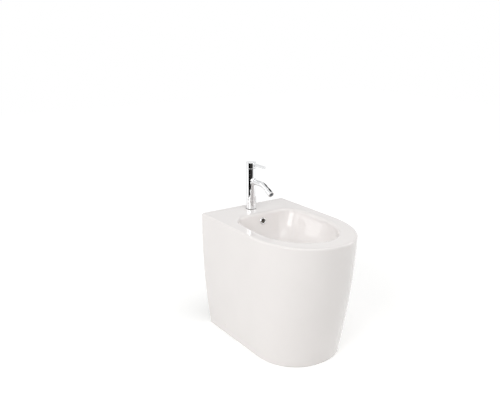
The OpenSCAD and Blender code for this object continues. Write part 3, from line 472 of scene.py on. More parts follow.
def atSideScrew(side):
    turn = Matrix.Rotation(side * (math.pi / 2 + sideLean), 4, "Y")
    return Matrix.Translation((side * halfWidth(sideZ), sideY, sideZ)) @ turn


def sideRecess():
    r, depth, screw, low = sideHole["cap"] / 2, sideHole["capDepth"], sideHole["screw"], -sideHole["reach"]
    edge = sideHole["edge"]
    arc = [(r + wider, z) for wider, z in flare(edge, 0, (10, 40, 90))]
    return revolve([(0, low), (screw, low), (screw, -depth), (r, -depth)] + arc[::-1]
                   + [(r + edge, 2), (0, 2)], 48)


overflowT = depthAngle(duct["drop"])
overflowN = slope(overflowT)
overflowTilt = math.atan2(-overflowN.x, -overflowN.y)
overflowTurn = Matrix.Rotation(math.pi / 2 - overflowTilt, 4, "X")
atOverflow = Matrix.Translation((0, drainY + rearReach(overflowT), deckZ - duct["drop"])) @ overflowTurn
atDrain = Matrix.Translation((0, drainY, 0))
tapLow, tapHigh = [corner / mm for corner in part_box("tap_body")]
tapY = (tapLow.y + tapHigh.y) / 2
atTap = Matrix.Translation((0, tapY, 0))


def glazedPedestal():
    rings, bareStart = chinaRings()
    shape = loft(rings)
    shape.faces.ensure_lookup_table()
    around = len(rings[0])
    for face in shape.faces:  # the cavity and the inside of the foot stay bare
        face.material_index = int(face.index >= bareStart * around or face.index < around)
    piece = toObject("glazedPedestal", shape)
    piece.data.materials.append(finishes["glaze"])
    piece.data.materials.append(biscuit)
    near, far, lap, half = bowl["wall"], bowl["wall"] + duct["depth"], duct["lap"], duct["width"] / 2
    skin, root, behind = far + duct["skin"], half + duct["skin"] + lap, seatRadius + 1
    crownDrop = duct["drop"] - duct["hole"] / 2 - duct["crown"]
    start = depthAngle((china["lipRound"] + crownDrop) / 2)
    combine(piece, slab(2 * (root - lap), near / 2, skin, start, 90), operation="UNION", layer=1)
    block = box((-root, duct["bossLap"], drainZ - skin + lap), (root, behind, drainZ - near / 2))
    combine(piece, block, atDrain, "UNION", 1)  # closes the duct against the boss
    combine(piece, slab(2 * half, near, far, depthAngle(crownDrop), 90), layer=1)
    combine(piece, box((-half, 0, drainZ - far + lap), (half, behind, floorLow - lap)), atDrain, layer=1)
    combine(piece, flaredDrill(duct["hole"] / 2, -near - duct["depth"] / 2, 0, duct["holeEdge"]), atOverflow)
    combine(piece, flaredDrill(china["tapHole"] / 2, underDeck - 1, deckZ, china["tapEdge"]), atTap)
    combine(piece, serviceOpening(), layer=1)
    for side in (1, -1):
        combine(piece, sideRecess(), atSideScrew(side))
    return finished(piece, "glaze", "ceramic_body", crease=40)


pedestal = glazedPedestal()
print("pedestal made:", len(pedestal.data.polygons), "faces")


# tap

tap = {
    "radius": 18.5, "low": tapLow.z + 9, "top": tapHigh.z, "spigotLow": tapLow.z, "spigot": 15.5,
    "bore": 12.5, "thread": 14.5, "threadLow": 18, "seat": 110, "edge": 0.6,
    "inlet": 4.45, "inletDepth": 14, "inletGap": 14, "inletY": -3.6, "recess": 5.5, "recessDepth": 9.5,
    "pitch": 1.0, "ridge": 0.55, "port": 2.4, "portX": 6.4, "portY": -2, "mixY": -6.5, "stud": 4,
    "studY": 9.5, "studDepth": 12,
}
tapRadius, columnTop, seatZ = tap["radius"], tap["top"], deckZ + tap["seat"]
spout = {
    "up": 101, "radius": 9.25, "bore": 6, "boreStart": 6.2, "run": 58, "bend": 60, "drop": math.radians(28),
    "tail": 6.4, "flare": 5, "tenon": 7.5, "tenonDepth": 5, "gap": 0.05, "socketBack": 7, "spigot": 7.6,
    "spigotDepth": 5,
}
spoutZ = deckZ + spout["up"]
forward = Matrix.Rotation(math.pi / 2, 4, "X")  # turns +Z to the front
atSpout = Matrix.Translation((0, tapY, spoutZ)) @ forward
atStud = atTap @ Matrix.Translation((0, tap["studY"], 0))


def tapColumn():
    t = tap
    threadLow = columnTop - t["threadLow"]
    shape = revolve(turned([
        (0, t["spigotLow"]), (t["spigot"], t["spigotLow"], 0.5), (t["spigot"], t["low"]),
        (tapRadius, t["low"], 0.5), (tapRadius, columnTop, t["edge"]), (t["thread"], columnTop, 0.4),
        (t["thread"], threadLow), (t["bore"], threadLow), (t["bore"], seatZ), (0, seatZ)]), 128)
    piece = toObject("tapColumn", shape, atTap)
    inletLow = t["spigotLow"] + t["recessDepth"]
    inletTop, pitch = inletLow + t["inletDepth"], t["pitch"]
    thread = ridges(t["inlet"], t["inlet"] + t["ridge"], inletLow - 1 + pitch, inletTop - pitch, pitch)
    tapped = [(0, inletLow - 1), (t["inlet"], inletLow - 1)] + thread
    tapped += [(t["inlet"], inletTop), (0, inletTop)]
    for side in (-1, 1):
        inlet = atTap @ Matrix.Translation((side * t["inletGap"] / 2, t["inletY"], 0))
        combine(piece, rod(t["recess"], t["spigotLow"] - 1, inletLow), inlet)
        combine(piece, revolve(tapped, 48), inlet)
        port = atTap @ Matrix.Translation((side * t["portX"], t["portY"], 0))
        combine(piece, rod(t["port"], inletTop - 1, seatZ + 1, 32), port)
    combine(piece, rod(t["port"], spoutZ, seatZ + 1, 32), atTap @ Matrix.Translation((0, t["mixY"], 0)))
    combine(piece, rod(t["stud"], t["spigotLow"] - 1, t["spigotLow"] + t["studDepth"], 32), atStud)
    first, start, out = spout["boreStart"], tapRadius - spout["tenonDepth"], 30
    bore, tenon = spout["bore"], spout["tenon"]
    line = [(0, first), (bore, first), (bore, start), (tenon, start), (tenon, out), (0, out)]
    combine(piece, revolve(line, 48), atSpout)
    return finished(piece, "chrome", "tap_body")


hub = {"low": columnTop + 0.7, "height": 19.8, "edge": 1.0, "roomRadius": 14, "room": 3.4, "stem": 8,
       "stemTop": 7.5, "lift": 16, "liftGap": 0.4, "pivotDown": 9.5}
lever = {"radius": 5, "down": 5.5, "start": 12, "reach": 84, "tip": 0.8, "tenon": 3, "tenonDepth": 9,
         "gap": 0.02}
grub = {"radius": 2, "up": 6.4, "gap": 0.05, "point": 4, "sunk": 1.2, "socket": 1.1, "socketDepth": 2}
hubTop = hub["low"] + hub["height"]
pivotZ = columnTop - hub["pivotDown"]
atLever = Matrix.Translation((0, tapY, hubTop - lever["down"])) @ forward
atGrub = Matrix.Translation((0, tapY, hub["low"] + grub["up"])) @ forward


def handleHub():
    low, roomTop = hub["low"], hub["low"] + hub["room"]
    shape = revolve(turned([
        (0, roomTop), (hub["roomRadius"], roomTop, 0.5), (hub["roomRadius"], low), (tapRadius, low, 0.4),
        (tapRadius, hubTop, hub["edge"]), (0, hubTop)]), 128)
    piece = toObject("handleHub", shape, atTap)
    half, wide = hub["stem"] / 2, 2 * tapRadius
    combine(piece, box((-half, -half, low), (half, half, hubTop - hub["stemTop"])), atTap)
    tilt = Matrix.Translation((0, tapY, pivotZ)) @ Matrix.Rotation(math.radians(hub["lift"]), 4, "X")
    combine(piece, box((-wide, -wide, -wide), (wide, wide, columnTop + hub["liftGap"] - pivotZ)), tilt)
    combine(piece, rod(lever["tenon"], tapRadius - lever["tenonDepth"], wide), atLever)
    combine(piece, rod(grub["radius"], 0, wide), atGrub)
    return finished(piece, "chrome", "handle_hub", "handle")


def leverPin():
    r, start, reach, gap = lever["radius"], lever["start"], lever["reach"], lever["gap"]
    shape = revolve(turned([(0, start), (r, start), (r, reach, lever["tip"]), (0, reach)]), 64)
    piece = toObject("leverPin", shape, atLever)
    combine(piece, rod(tapRadius + gap, hub["low"] - 5, hubTop + 5, 128), atTap)
    tenonStart = tapRadius - lever["tenonDepth"] + 0.1
    combine(piece, rod(lever["tenon"] - gap, tenonStart, tapRadius + 3), atLever, "UNION")
    return finished(piece, "chrome", "lever_pin", "handle")


def grubScrew():  # cup point set screw with its hexagon socket
    r, end = grub["radius"] - grub["gap"], tapRadius - grub["sunk"]
    shape = revolve(turned([(0, grub["point"]), (r, grub["point"], 0.4), (r, end, 0.3), (0, end)]), 32)
    piece = toObject("grubScrew", shape, atGrub)
    combine(piece, rod(grub["socket"], end - grub["socketDepth"], tapRadius + 0.5, 6), atGrub)
    return finished(piece, "steel", "handle_grub_screw", "handle")


def spoutStation(s):  # frame at distance s from the tap's axis along the spout's middle line
    run, bend, drop = spout["run"], spout["bend"], spout["drop"]
    if s <= run:
        return Matrix.Translation((0, tapY - s, spoutZ)) @ forward
    angle = min((s - run) / bend, drop)
    spare = max(0.0, s - run - bend * drop)
    spot = Vector((0, tapY - run - bend * math.sin(angle), spoutZ - bend * (1 - math.cos(angle))))
    turn = Matrix.Rotation(math.pi / 2 + angle, 4, "X")
    return Matrix.Translation(spot + spare * Vector((0, -math.cos(angle), -math.sin(angle)))) @ turn


def saddleFillet(a, s):  # rounded root between the level tube and the round column, at angle a round the tube
    r, f, big = spout["radius"], spout["flare"], tapRadius
    near = Vector((r * math.cos(a), -math.sqrt(big ** 2 - (r * math.cos(a)) ** 2) - f, -r * math.sin(a)))
    x, z = (r + f) * math.cos(a), -(r + f) * math.sin(a)
    y = -math.sqrt(big ** 2 - x ** 2)
    corner = Vector((near.x, y - x * (near.x - x) / y, near.z))
    w = math.sqrt(0.5)  # a conic with this weight is a quarter circle where the root is square
    parts = ((1 - s) ** 2, 2 * w * s * (1 - s), s ** 2)
    spot = (near * parts[0] + corner * parts[1] + Vector((x, y, z)) * parts[2]) / sum(parts)
    return spot + Vector((0, tapY, spoutZ))


def spoutTube():
    angles = fullTurn(96)

    def circle(radius, s):
        return [spoutStation(s) @ Vector((radius * math.cos(a), radius * math.sin(a), 0)) for a in angles]

    r, bore, tenon = spout["radius"], spout["bore"], spout["tenon"] - spout["gap"]
    bendLength = spout["bend"] * spout["drop"]
    length = spout["run"] + bendLength + spout["tail"]
    start, spigotLow = tapRadius + spout["flare"] + 2, length - spout["spigotDepth"]
    rings = [[saddleFillet(a, s) for a in angles] for s in steps(12)[::-1]]
    stations = [start + (spout["run"] - start) * s for s in steps(6)]
    stations += [spout["run"] + bendLength * s for s in steps(28, 1)]
    rings += [circle(r, s) for s in stations]
    rings += [circle(r, length - 0.4), circle(r - 0.12, length - 0.12), circle(r - 0.4, length)]  # edge
    rings += [circle(spout["spigot"], length), circle(spout["spigot"], spigotLow), circle(bore, spigotLow)]
    rings += [circle(bore, s) for s in stations[::-1]]
    inner = tapRadius - spout["tenonDepth"] + 0.1
    rings += [circle(bore, inner), circle(tenon, inner)]
    rings.append([Vector((tenon * math.cos(a), tapY - math.sqrt(tapRadius ** 2 - (tenon * math.cos(a)) ** 2),
                          spoutZ - tenon * math.sin(a))) for a in angles])
    return plain("spoutTube", loft(rings), Matrix(), "chrome", "spout_tube", crease=40)


nozzle = {
    "ball": 7, "cavity": 8.05, "mouth": 50, "throat": 150.2, "inflow": 4, "spigotEnd": -12, "flow": 2.8,
    "neck": 4.2, "cup": 9.75, "sleeve": 10.3, "sleeveLow": 2.4, "webTop": 13, "sleeveTop": 20.6,
    "insert": 8.6, "ring": 10.75, "tip": 25, "sealTop": 14.5, "recess": 1.6, "lip": 1.2,
}
atBall = spoutStation(spout["run"] + spout["bend"] * spout["drop"] + spout["tail"] + spout["socketBack"])


def sphereLine(radius, first, last, count=16):  # arc of a sphere's section, angles from the axis in degrees
    return [(radius * math.sin(a), radius * math.cos(a))
            for a in [math.radians(mix(first, last, s)) for s in steps(count)]]


def nozzleSocket():
    n, r, back, low = nozzle, spout["radius"], -spout["socketBack"], nozzle["spigotEnd"]
    spigot = spout["spigot"] - spout["gap"]
    outerEnd = math.degrees(math.acos(n["cavity"] * math.cos(math.radians(n["mouth"])) / r))
    profile = turned([(n["inflow"], low), (spigot, low, 0.3), (spigot, back), (r, back, 0.4)], 4)
    profile += sphereLine(r, 90, outerEnd) + sphereLine(n["cavity"], n["mouth"], n["throat"])
    return plain("nozzleSocket", revolve(profile), atBall, "chrome", "nozzle_socket")


def swivelBall():
    n = nozzle
    top = math.degrees(math.asin(n["neck"] / n["ball"]))
    low = 180 - math.degrees(math.asin(n["flow"] / n["ball"]))
    profile = [(n["flow"], n["webTop"]), (n["neck"] - 0.3, n["webTop"]), (n["neck"], n["webTop"] - 0.3)]
    profile += sphereLine(n["ball"], top, low, 30)
    return plain("swivelBall", revolve(profile, 64), atBall, "chrome", "swivel_ball", "nozzle")


def nozzleSleeve():
    n, top = nozzle, nozzle["sleeveTop"]
    cupLow = math.degrees(math.acos(n["sleeveLow"] / n["cup"]))
    cupHigh = math.degrees(math.asin(n["neck"] / n["cup"]))
    start = n["cup"] * math.sin(math.radians(cupLow))
    profile = turned([(start, n["sleeveLow"]), (n["sleeve"], n["sleeveLow"], 0.5), (n["sleeve"], top - 1.0),
                      (n["sleeve"] - 0.3, top - 0.6), (n["sleeve"] - 0.3, top), (n["insert"], top)], 4)
    profile += [(n["insert"], n["webTop"]), (n["neck"], n["webTop"])]
    profile += sphereLine(n["cup"], cupHigh, cupLow)[:-1]
    return plain("nozzleSleeve", revolve(profile), atBall, "chrome", "nozzle_sleeve", "nozzle")


def aeratorRing():
    n, inner, face = nozzle, nozzle["insert"] - nozzle["lip"], nozzle["tip"] - nozzle["recess"]
    low, high = n["sleeveTop"], n["tip"]
    profile = turned([(n["insert"], low), (n["ring"], low, 0.4), (n["ring"], high, 0.8), (inner, high, 0.4),
                      (inner, face), (n["insert"], face)], 5)
    return plain("aeratorRing", revolve(profile), atBall, "chrome", "aerator_ring", "nozzle")


aerator = {"rim": 7.6, "wall": 1.2, "step": 0.6, "stepDepth": 3, "gap": 0.05, "webDepth": 3.0, "sunk": 0.5,
           "cell": 1.9, "web": 0.28}


def aeratorFace():  # honeycomb of fine webs inside a moulded cup
    a, low, high = aerator, nozzle["sealTop"], nozzle["tip"] - nozzle["recess"]
    rim, cell, outer, ledge = a["rim"], a["cell"], nozzle["insert"] - a["gap"], a["rim"] - a["step"]
    shape = revolve(turned([
        (rim - a["wall"], low), (outer, low, 0.2), (outer, high, 0.2), (ledge, high),
        (ledge, high - a["stepDepth"]), (rim - a["wall"], high - a["stepDepth"])], 3), 72)
    rowStep, reach, corner = cell * math.sqrt(3) / 2, math.ceil(rim / cell) + 1, cell / math.sqrt(3)
    top, bottom = high - a["sunk"], high - a["webDepth"]
    for row in range(-reach, reach + 1):
        for column in range(-reach, reach + 1):
            cx, cy = cell * (column + 0.5 * (row % 2)), rowStep * row
            if math.hypot(cx, cy) > ledge - cell / 2:
                continue
            sizes = ((corner, top), (corner - a["web"], top), (corner - a["web"], bottom), (corner, bottom))
            rings = [[shape.verts.new((cx + size * math.sin(t), cy + size * math.cos(t), z))
                      for t in fullTurn(6)] for size, z in sizes]
            for near, far in zip(rings, rings[1:] + rings[:1]):
                for k in range(6):
                    shape.faces.new((near[k], near[(k + 1) % 6], far[(k + 1) % 6], far[k]))
    bmesh.ops.recalc_face_normals(shape, faces=shape.faces)
    return plain("aeratorFace", shape, atBall, "grey_plastic", "aerator_insert", "nozzle")


dome = {"low": 6.5, "top": 0.6, "gap": 0.05, "neck": 8.9, "rise": 2, "slope": 2.4}


def domeRing():  # the bright ring under the handle that hides the cartridge nut
    low, top = columnTop - dome["low"], columnTop - dome["top"]
    r, neck = tap["thread"] - dome["gap"], dome["neck"]
    shape = revolve(turned([(neck, low), (r, low), (r, top - dome["rise"], 1), (r - dome["slope"], top, 1),
                            (neck, top, 0.3)]))
    return plain("domeRing", shape, atTap, "chrome", "dome_ring")


tapPieces = [tapColumn(), handleHub(), leverPin(), grubScrew(), spoutTube(), nozzleSocket(), swivelBall(),
             nozzleSleeve(), aeratorRing(), aeratorFace(), domeRing()]
print("tap made:", len(tapPieces), "pieces")


# overflow, waste and plug

collar = {"wall": 1.2, "gap": 0.05, "low": -9, "seat": 0.6, "flange": 11.5, "edge": 2.2, "crown": 3.8,
          "crownRadius": 10.3}
waste = {"flangeLow": drainZ + 1.5, "flange": 31.5, "flangeThick": 2.5, "flangeEdge": 1.5, "body": 20.9,
         "bore": 17.9, "length": 74, "pitch": 2.3, "threadDepth": 0.7, "threadLength": 39.1, "slot": 12,
         "slotUp": 6, "slotDown": 5}
plug = {"radius": 30, "crown": 3, "rim": 1.5, "up": 1.5, "bevel": 0.4}
flangeTop, wasteBody = waste["flangeLow"] + waste["flangeThick"], waste["body"]


def overflowRing():
    c, hole = collar, duct["hole"] / 2
    shape = revolve(turned([
        (hole - c["wall"], c["low"]), (hole - c["gap"], c["low"]), (hole - c["gap"], c["seat"]),
        (c["flange"], c["seat"], 0.3), (c["flange"], c["edge"], 1.0), (c["crownRadius"], c["crown"], 1.2),
        (hole - c["wall"], c["crown"], 1.2)]), 96)
    return plain("overflowRing", shape, atOverflow, "chrome", "overflow_ring")


def wasteFlange():  # flange in the bowl and its threaded body, with the overflow slots
    w, low = waste, waste["flangeLow"] - waste["length"]
    threadLow, threadTop = low + 1, low + 1 + w["threadLength"]
    profile = [(w["bore"], low), (wasteBody - 0.5, low)]
    profile += ridges(wasteBody, wasteBody - w["threadDepth"], threadLow, threadTop, w["pitch"])
    profile += [(wasteBody, threadTop), (wasteBody, w["flangeLow"])]
    edge = w["flangeEdge"]
    profile += turned([(w["flange"], w["flangeLow"]), (w["flange"], flangeTop, edge),
                       (w["bore"] + 4, flangeTop), (w["bore"], flangeTop - edge, 1)], 6)
    piece = toObject("wasteFlange", revolve(profile), atDrain)
    half, out = w["slot"] / 2, 40
    for turn in (0, math.pi / 2):
        combine(piece, box((-half, -out, bossLow + w["slotUp"]), (half, out, floorLow - w["slotDown"])),
                atDrain @ Matrix.Rotation(turn, 4, "Z"))
    return finished(piece, "chrome", "waste_body")


def plugCap():
    p, radius, low = plug, plug["radius"], flangeTop + plug["up"]
    ball = (radius ** 2 + p["crown"] ** 2) / (2 * p["crown"])
    spread, top = math.asin(radius / ball), low + p["rim"] + p["crown"]
    line = [(0, low), (radius - p["bevel"], low), (radius, low + p["bevel"])]
    line += [(ball * math.sin(a), top - ball * (1 - math.cos(a)))
             for a in [spread * (1 - s) for s in steps(14)]]
    return plain("plugCap", revolve(line), atDrain, "chrome", "plug_cap", "plug")


wastePieces = [overflowRing(), wasteFlange(), plugCap()]
print("waste made:", len(wastePieces), "pieces")


# fixings under the deck, trap and brackets, seen through the open back

outletZ, trapLow = 136, 84
atOutlet = Matrix.Translation((0, drainY, outletZ)) @ Matrix.Rotation(-math.pi / 2, 4, "X")


def offsetLine(points, inset):  # closed outline moved inward
    spots = [Vector(point) for point in points]
    line = []
    for i, spot in enumerate(spots):
        near = (spot - spots[i - 1]).normalized()
        far = (spots[(i + 1) % len(spots)] - spot).normalized()
        across = Vector((-near.y - far.y, near.x + far.x)).normalized()
        line.append(spot + across * inset / max(0.5, across.dot(Vector((-near.y, near.x)))))
    return line


def bevelled(points, low, high, edge, lay):  # anticlockwise outline as a plate, laid in space by lay
    levels = [(low, edge), (low + edge, 0), (high - edge, 0), (high, edge)]
    return loft([[lay(spot.x, spot.y, level) for spot in offsetLine(points, inset)]
                 for level, inset in levels], closed=False)


hexagon = {"face": 0.97, "lean": 30, "bore": 0.8}  # bearing face as a share of the flats, chamfers


def hexNut(name, node, hole, across, low, high, place):  # chamfered at the corners and in the bore
    flat, lean, bore = across / 2, math.tan(math.radians(hexagon["lean"])), hexagon["bore"]
    inner = hexagon["face"] * flat

    def corner(a):
        return flat / math.cos((a % (math.pi / 3)) - math.pi / 6)

    def ring(radius, z, drop=0):
        return [(radius(a) * math.cos(a), radius(a) * math.sin(a), z + drop * (corner(a) - inner))
                for a in fullTurn(72)]

    rings = [ring(lambda a: hole, low + bore), ring(lambda a: hole + bore, low), ring(lambda a: inner, low),
             ring(corner, low, lean), ring(corner, high, -lean), ring(lambda a: inner, high),
             ring(lambda a: hole + bore, high), ring(lambda a: hole, high - bore)]
    return plain(name, loft(rings), place, "brass", node, crease=20)


stud = {"radius": 4, "gap": 0.02, "root": 3.5, "length": 76, "grip": 12, "pitch": 1.25, "tip": 0.8, "nut": 8,
        "nutAcross": 13}


def fixingStud():
    r, tip, top = stud["radius"] - stud["gap"], stud["tip"], tap["spigotLow"] + stud["grip"]
    low = top - stud["length"]
    line = [(0, low), (r - tip, low)] + ridges(r, stud["root"], low + tip, top - tip, stud["pitch"])
    return plain("fixingStud", revolve(line + [(r - tip, top), (0, top)], 40), atStud, "steel", "fixing_stud")


horseshoe = {"radius": 24, "mouth": 14, "back": 2.5, "gasket": 3, "washer": 2, "cornerRound": 1.5,
             "mouthRound": 3}
washerTop = underDeck - horseshoe["gasket"]
nutTop = washerTop - horseshoe["washer"]


def horseshoePlate(name, node, slot, low, high, edge, hole):
    r, m, back, c = horseshoe["radius"], horseshoe["mouth"], horseshoe["back"], horseshoe["cornerRound"]
    start = math.asin(m / r)
    arc = [mix(start, 2 * math.pi - start, s) - math.pi / 2 for s in steps(60)]
    line = [(r * math.cos(a), r * math.sin(a)) for a in arc]
    line[0], line[-1] = line[0] + (c,), line[-1] + (c,)
    line += [(-m, back, horseshoe["mouthRound"]), (m, back, horseshoe["mouthRound"])]
    shape = bevelled(turned(line, 4), low, high, edge, lambda u, v, level: (u, v, level))
    piece = toObject(name, shape, atTap)
    combine(piece, rod(hole, low - 1, high + 1), atStud)
    return finished(piece, slot, node)


seal = {"top": bossLow, "radius": drain["boss"] / 2 - 3, "height": 6, "cone": 3, "coneRadius": 23, "tip": 0.2,
        "washer": 2, "nut": 9, "nutAcross": 54}
sealLow = seal["top"] - seal["height"]
wasteNutTop = sealLow - seal["washer"]


def lowerSeal():  # rubber cone that the nut presses into the drain hole
    s, coneTop = seal, seal["top"] + seal["cone"]
    line = turned([(wasteBody, sealLow), (s["radius"], sealLow, 0.6), (s["radius"], s["top"], 1.2),
                   (s["coneRadius"], s["top"]), (wasteBody + s["tip"], coneTop), (wasteBody, coneTop)])
    return plain("lowerSeal", revolve(line), atDrain, "rubber", "waste_lower_gasket")


def wasteWasher():
    r = seal["radius"]
    line = turned([(wasteBody, wasteNutTop), (r, wasteNutTop, 0.5), (r, sealLow, 0.5),
                   (wasteBody, sealLow)], 3)
    return plain("wasteWasher", revolve(line), atDrain, "steel", "waste_washer")


grip = {"flutes": 14, "depth": 0.9, "wall": 4, "end": 3, "endRound": 1.5}


def gripNut(name, node, wide, hole, openZ, stepZ, place):  # moulded union nut with finger flutes
    r = wide + grip["wall"]
    endZ = stepZ + math.copysign(grip["end"], stepZ - openZ)
    flutes = [(r, mix(endZ, openZ, s)) for s in (0.16, 0.24, 0.8, 0.88)]
    line = turned([(hole, endZ, 0.4), (r, endZ, grip["endRound"])] + flutes
                  + [(r, openZ, 0.8), (wide, openZ, 0.5), (wide, stepZ), (hole, stepZ)], 4)
    low, high = sorted((mix(endZ, openZ, 0.2), mix(endZ, openZ, 0.84)))

    def pinch(a, radius, z):
        fluted = radius > r - 0.01 and low < z < high
        return -grip["depth"] * max(0, math.cos(grip["flutes"] * a)) if fluted else 0

    return plain(name, revolve(line, 12 * grip["flutes"], pinch), place, "white_plastic", node)


trap = {
    "pipe": 16, "bore": 14.4, "joint": 2, "lip": 2.5, "gap": 0.4, "dip": 110, "skirt": 13, "bottle": 33,
    "wall": 3, "head": 182, "shoulder": 6, "neck": 20.5, "neckHeight": 14, "neckBore": 16.4, "nutGap": 0.05,
    "port": 45, "outletEnd": 253, "outletSkirt": 9, "bead": 2, "beadUp": 4, "beadWidth": 3,
}
trapTop = waste["flangeLow"] - waste["length"]
collarTop = trapTop - trap["joint"]
collarLow = collarTop - trap["lip"]
neckTop = trap["head"] + trap["neckHeight"]
outletCollar = trap["port"] + trap["joint"]
outletLip = outletCollar + trap["lip"]


def dipPipe():
    t, wide = trap, wasteBody - trap["gap"]
    line = turned([(t["bore"], t["dip"], 0.4), (t["pipe"], t["dip"], 0.4), (t["pipe"], collarLow),
                   (wide, collarLow, 0.4), (wide, collarTop, 0.6), (t["bore"], collarTop, 0.5)])
    return plain("dipPipe", revolve(line, 72), atDrain, "white_plastic", "trap_inlet_pipe")


def trapBottle():
    t, r, neck, head, port = trap, trap["bottle"], trap["neck"], trap["head"], trap["port"]
    outside = turned([(0, trapLow), (r, trapLow, 0.6), (r, head, t["shoulder"]), (neck, head, 1.2),
                      (neck, neckTop, 0.6), (0, neckTop)])
    piece = toObject("trapBottle", revolve(outside, 120), atDrain)
    branch = turned([(0, 0), (neck, 0), (neck, port, 0.6), (0, port)])
    combine(piece, revolve(branch, 96), atOutlet, "UNION")
    room, roof = r - t["wall"], head - t["wall"]
    inside = turned([(0, trapLow - 1), (room, trapLow - 1), (room, roof, 3), (0, roof)])
    combine(piece, revolve(inside, 120), atDrain)
    combine(piece, rod(t["neckBore"], roof - t["wall"], neckTop + 1, 72), atDrain)
    combine(piece, rod(t["bore"], 0, port + 1, 72), atOutlet)
    return finished(piece, "white_plastic", "trap_bottle")


cup = {"radius": 37, "inside": 33, "low": 79, "floor": 82, "top": 104, "ribs": 12, "rib": 2, "ribAngle": 1.3,
       "ribTop": 102, "bottomRound": 3}


def trapCup():
    c, r, top = cup, cup["radius"], cup["ribTop"]
    line = turned([(0, c["low"]), (r, c["low"], c["bottomRound"]), (r, trapLow), (r, trapLow + 0.8),
                   (r, top - 1), (r, top - 0.4), (r, c["top"], 0.6), (c["inside"], c["top"], 0.6),
                   (c["inside"], c["floor"], 1), (0, c["floor"])])
    turn = 2 * math.pi / c["ribs"]

    def rib(a, radius, z):
        near = abs((a + turn / 2) % turn - turn / 2) < math.radians(c["ribAngle"])
        return c["rib"] if near and radius > r - 0.01 and trapLow + 0.4 < z < top - 0.7 else 0

    return plain("trapCup", revolve(line, 24 * c["ribs"], rib), atDrain, "white_plastic", "trap_cup")


def outletPipe():
    t, r, wide, beadLow = trap, trap["pipe"], trap["neck"] - trap["gap"], outletLip + trap["beadUp"]
    bead, beadTop = r + t["bead"], beadLow + t["beadWidth"]
    line = turned([(t["bore"], outletCollar), (wide, outletCollar, 0.4), (wide, outletLip, 0.4),
                   (r, outletLip, 0.6), (r, beadLow, 0.4), (bead, beadLow, 0.9), (bead, beadTop, 0.9),
                   (r, beadTop, 0.4), (r, t["outletEnd"], 0.5), (t["bore"], t["outletEnd"], 0.5)])
    return plain("outletPipe", revolve(line, 72), atOutlet, "white_plastic", "trap_outlet_pipe")


bracket = {"width": 40, "thick": 3, "height": 56, "footEnd": 90, "hole": 4, "holeX": 104, "screw": 3,
           "gap": 0.85, "bend": 2, "edge": 0.4}


def floorBracket(name, node, side):  # folded strip with its bend rounded inside and out
    b, thick, tall, half = bracket, bracket["thick"], bracket["height"], bracket["width"] / 2
    lean = math.tan(sideLean)
    heel = halfWidth(sideZ) - (china["wall"] + b["gap"] / math.cos(sideLean)) - sideZ * lean
    inner = heel - thick / math.cos(sideLean)
    line = turned([(b["footEnd"], 0, 0.5), (heel, 0, b["bend"] + thick), (heel + tall * lean, tall, 0.5),
                   (inner + tall * lean, tall, 0.5), (inner + thick * lean, thick, b["bend"]),
                   (b["footEnd"], thick, 0.5)])
    shape = bevelled(line, -half, half, b["edge"], lambda u, v, level: (side * u, sideY + level, v))
    piece = toObject(name, shape)
    combine(piece, rod(b["hole"], -1, thick + 1), Matrix.Translation((side * b["holeX"], sideY, 0)))
    combine(piece, rod(b["screw"], -2 * china["wall"] - thick, 0), atSideScrew(side))
    return finished(piece, "steel", node)


sideScrew = {"head": 5.5, "headTop": -2.8, "headThick": 3, "radius": 3, "root": 2.3, "length": 24, "point": 3,
             "plain": 6, "pitch": 1.8, "recess": 1.65, "recessDepth": 2}
cap = {"radius": 7, "thick": 2.5, "peg": 1.6, "gap": 0.02, "edge": 0.35, "crown": 0.08}


def sideScrewSet(side):  # pan head wood screw and its glazed cover cap
    s, where, top = sideScrew, "Right" if side > 0 else "Left", sideScrew["headTop"]
    low, pit, shank = top - s["headThick"], top - s["recessDepth"], s["radius"] - 0.1
    tip, threadTop = low - s["length"], low - s["plain"]
    line = [(0, tip), (0.4, tip)]
    line += ridges(s["radius"] - 0.02, s["root"], tip + s["point"], threadTop, s["pitch"])
    line += turned([(s["root"] + 0.3, threadTop), (shank, threadTop + 1), (shank, low), (s["head"], low, 0.3),
                    (s["head"], top, 1.2), (s["recess"], top, 0.2), (s["recess"], pit), (0, pit)], 4)
    screw = plain("sideScrew" + where, revolve(line, 40), atSideScrew(side), "steel", "bracket_screws")
    r, peg, under, start = cap["radius"], cap["peg"], -cap["thick"], pit + cap["gap"]
    face = turned([(0, start), (peg, start, 0.3), (peg, under), (r, under, 0.3), (r, -cap["edge"], 0.5),
                   (r * 0.5, -cap["crown"]), (0, 0)], 5)
    return screw, plain("coverCap" + where, revolve(face, 64), atSideScrew(side), "glaze", "screw_caps")


studHole, pipeHole = stud["radius"], trap["pipe"] + trap["nutGap"]
backPieces = [
    fixingStud(), lowerSeal(), wasteWasher(), dipPipe(), trapBottle(), trapCup(), outletPipe(),
    horseshoePlate("horseshoeGasket", "horseshoe_gasket", "rubber", washerTop, underDeck, 0.5, studHole),
    horseshoePlate("horseshoeWasher", "horseshoe_washer", "steel", nutTop, washerTop, 0.3, studHole + 0.05),
    hexNut("studNut", "stud_nut", studHole, stud["nutAcross"], nutTop - stud["nut"], nutTop, atStud),
    hexNut("wasteNut", "waste_nut", wasteBody, seal["nutAcross"], wasteNutTop - seal["nut"], wasteNutTop,
           atDrain),
    gripNut("topUnionNut", "trap_top_nut", wasteBody, trap["neckBore"], trapTop + trap["skirt"], collarLow,
            atDrain),
    gripNut("bottleNut", "bottle_nut", trap["neck"], pipeHole, trap["head"] + trap["joint"],
            neckTop + trap["joint"], atDrain),
    gripNut("outletNut", "outlet_nut", trap["neck"], pipeHole, trap["port"] - trap["outletSkirt"], outletLip,
            atOutlet),
    floorBracket("bracketRight", "right_bracket", 1), floorBracket("bracketLeft", "left_bracket", -1),
    *sideScrewSet(1), *sideScrewSet(-1),
]
print("back made:", len(backPieces), "pieces")

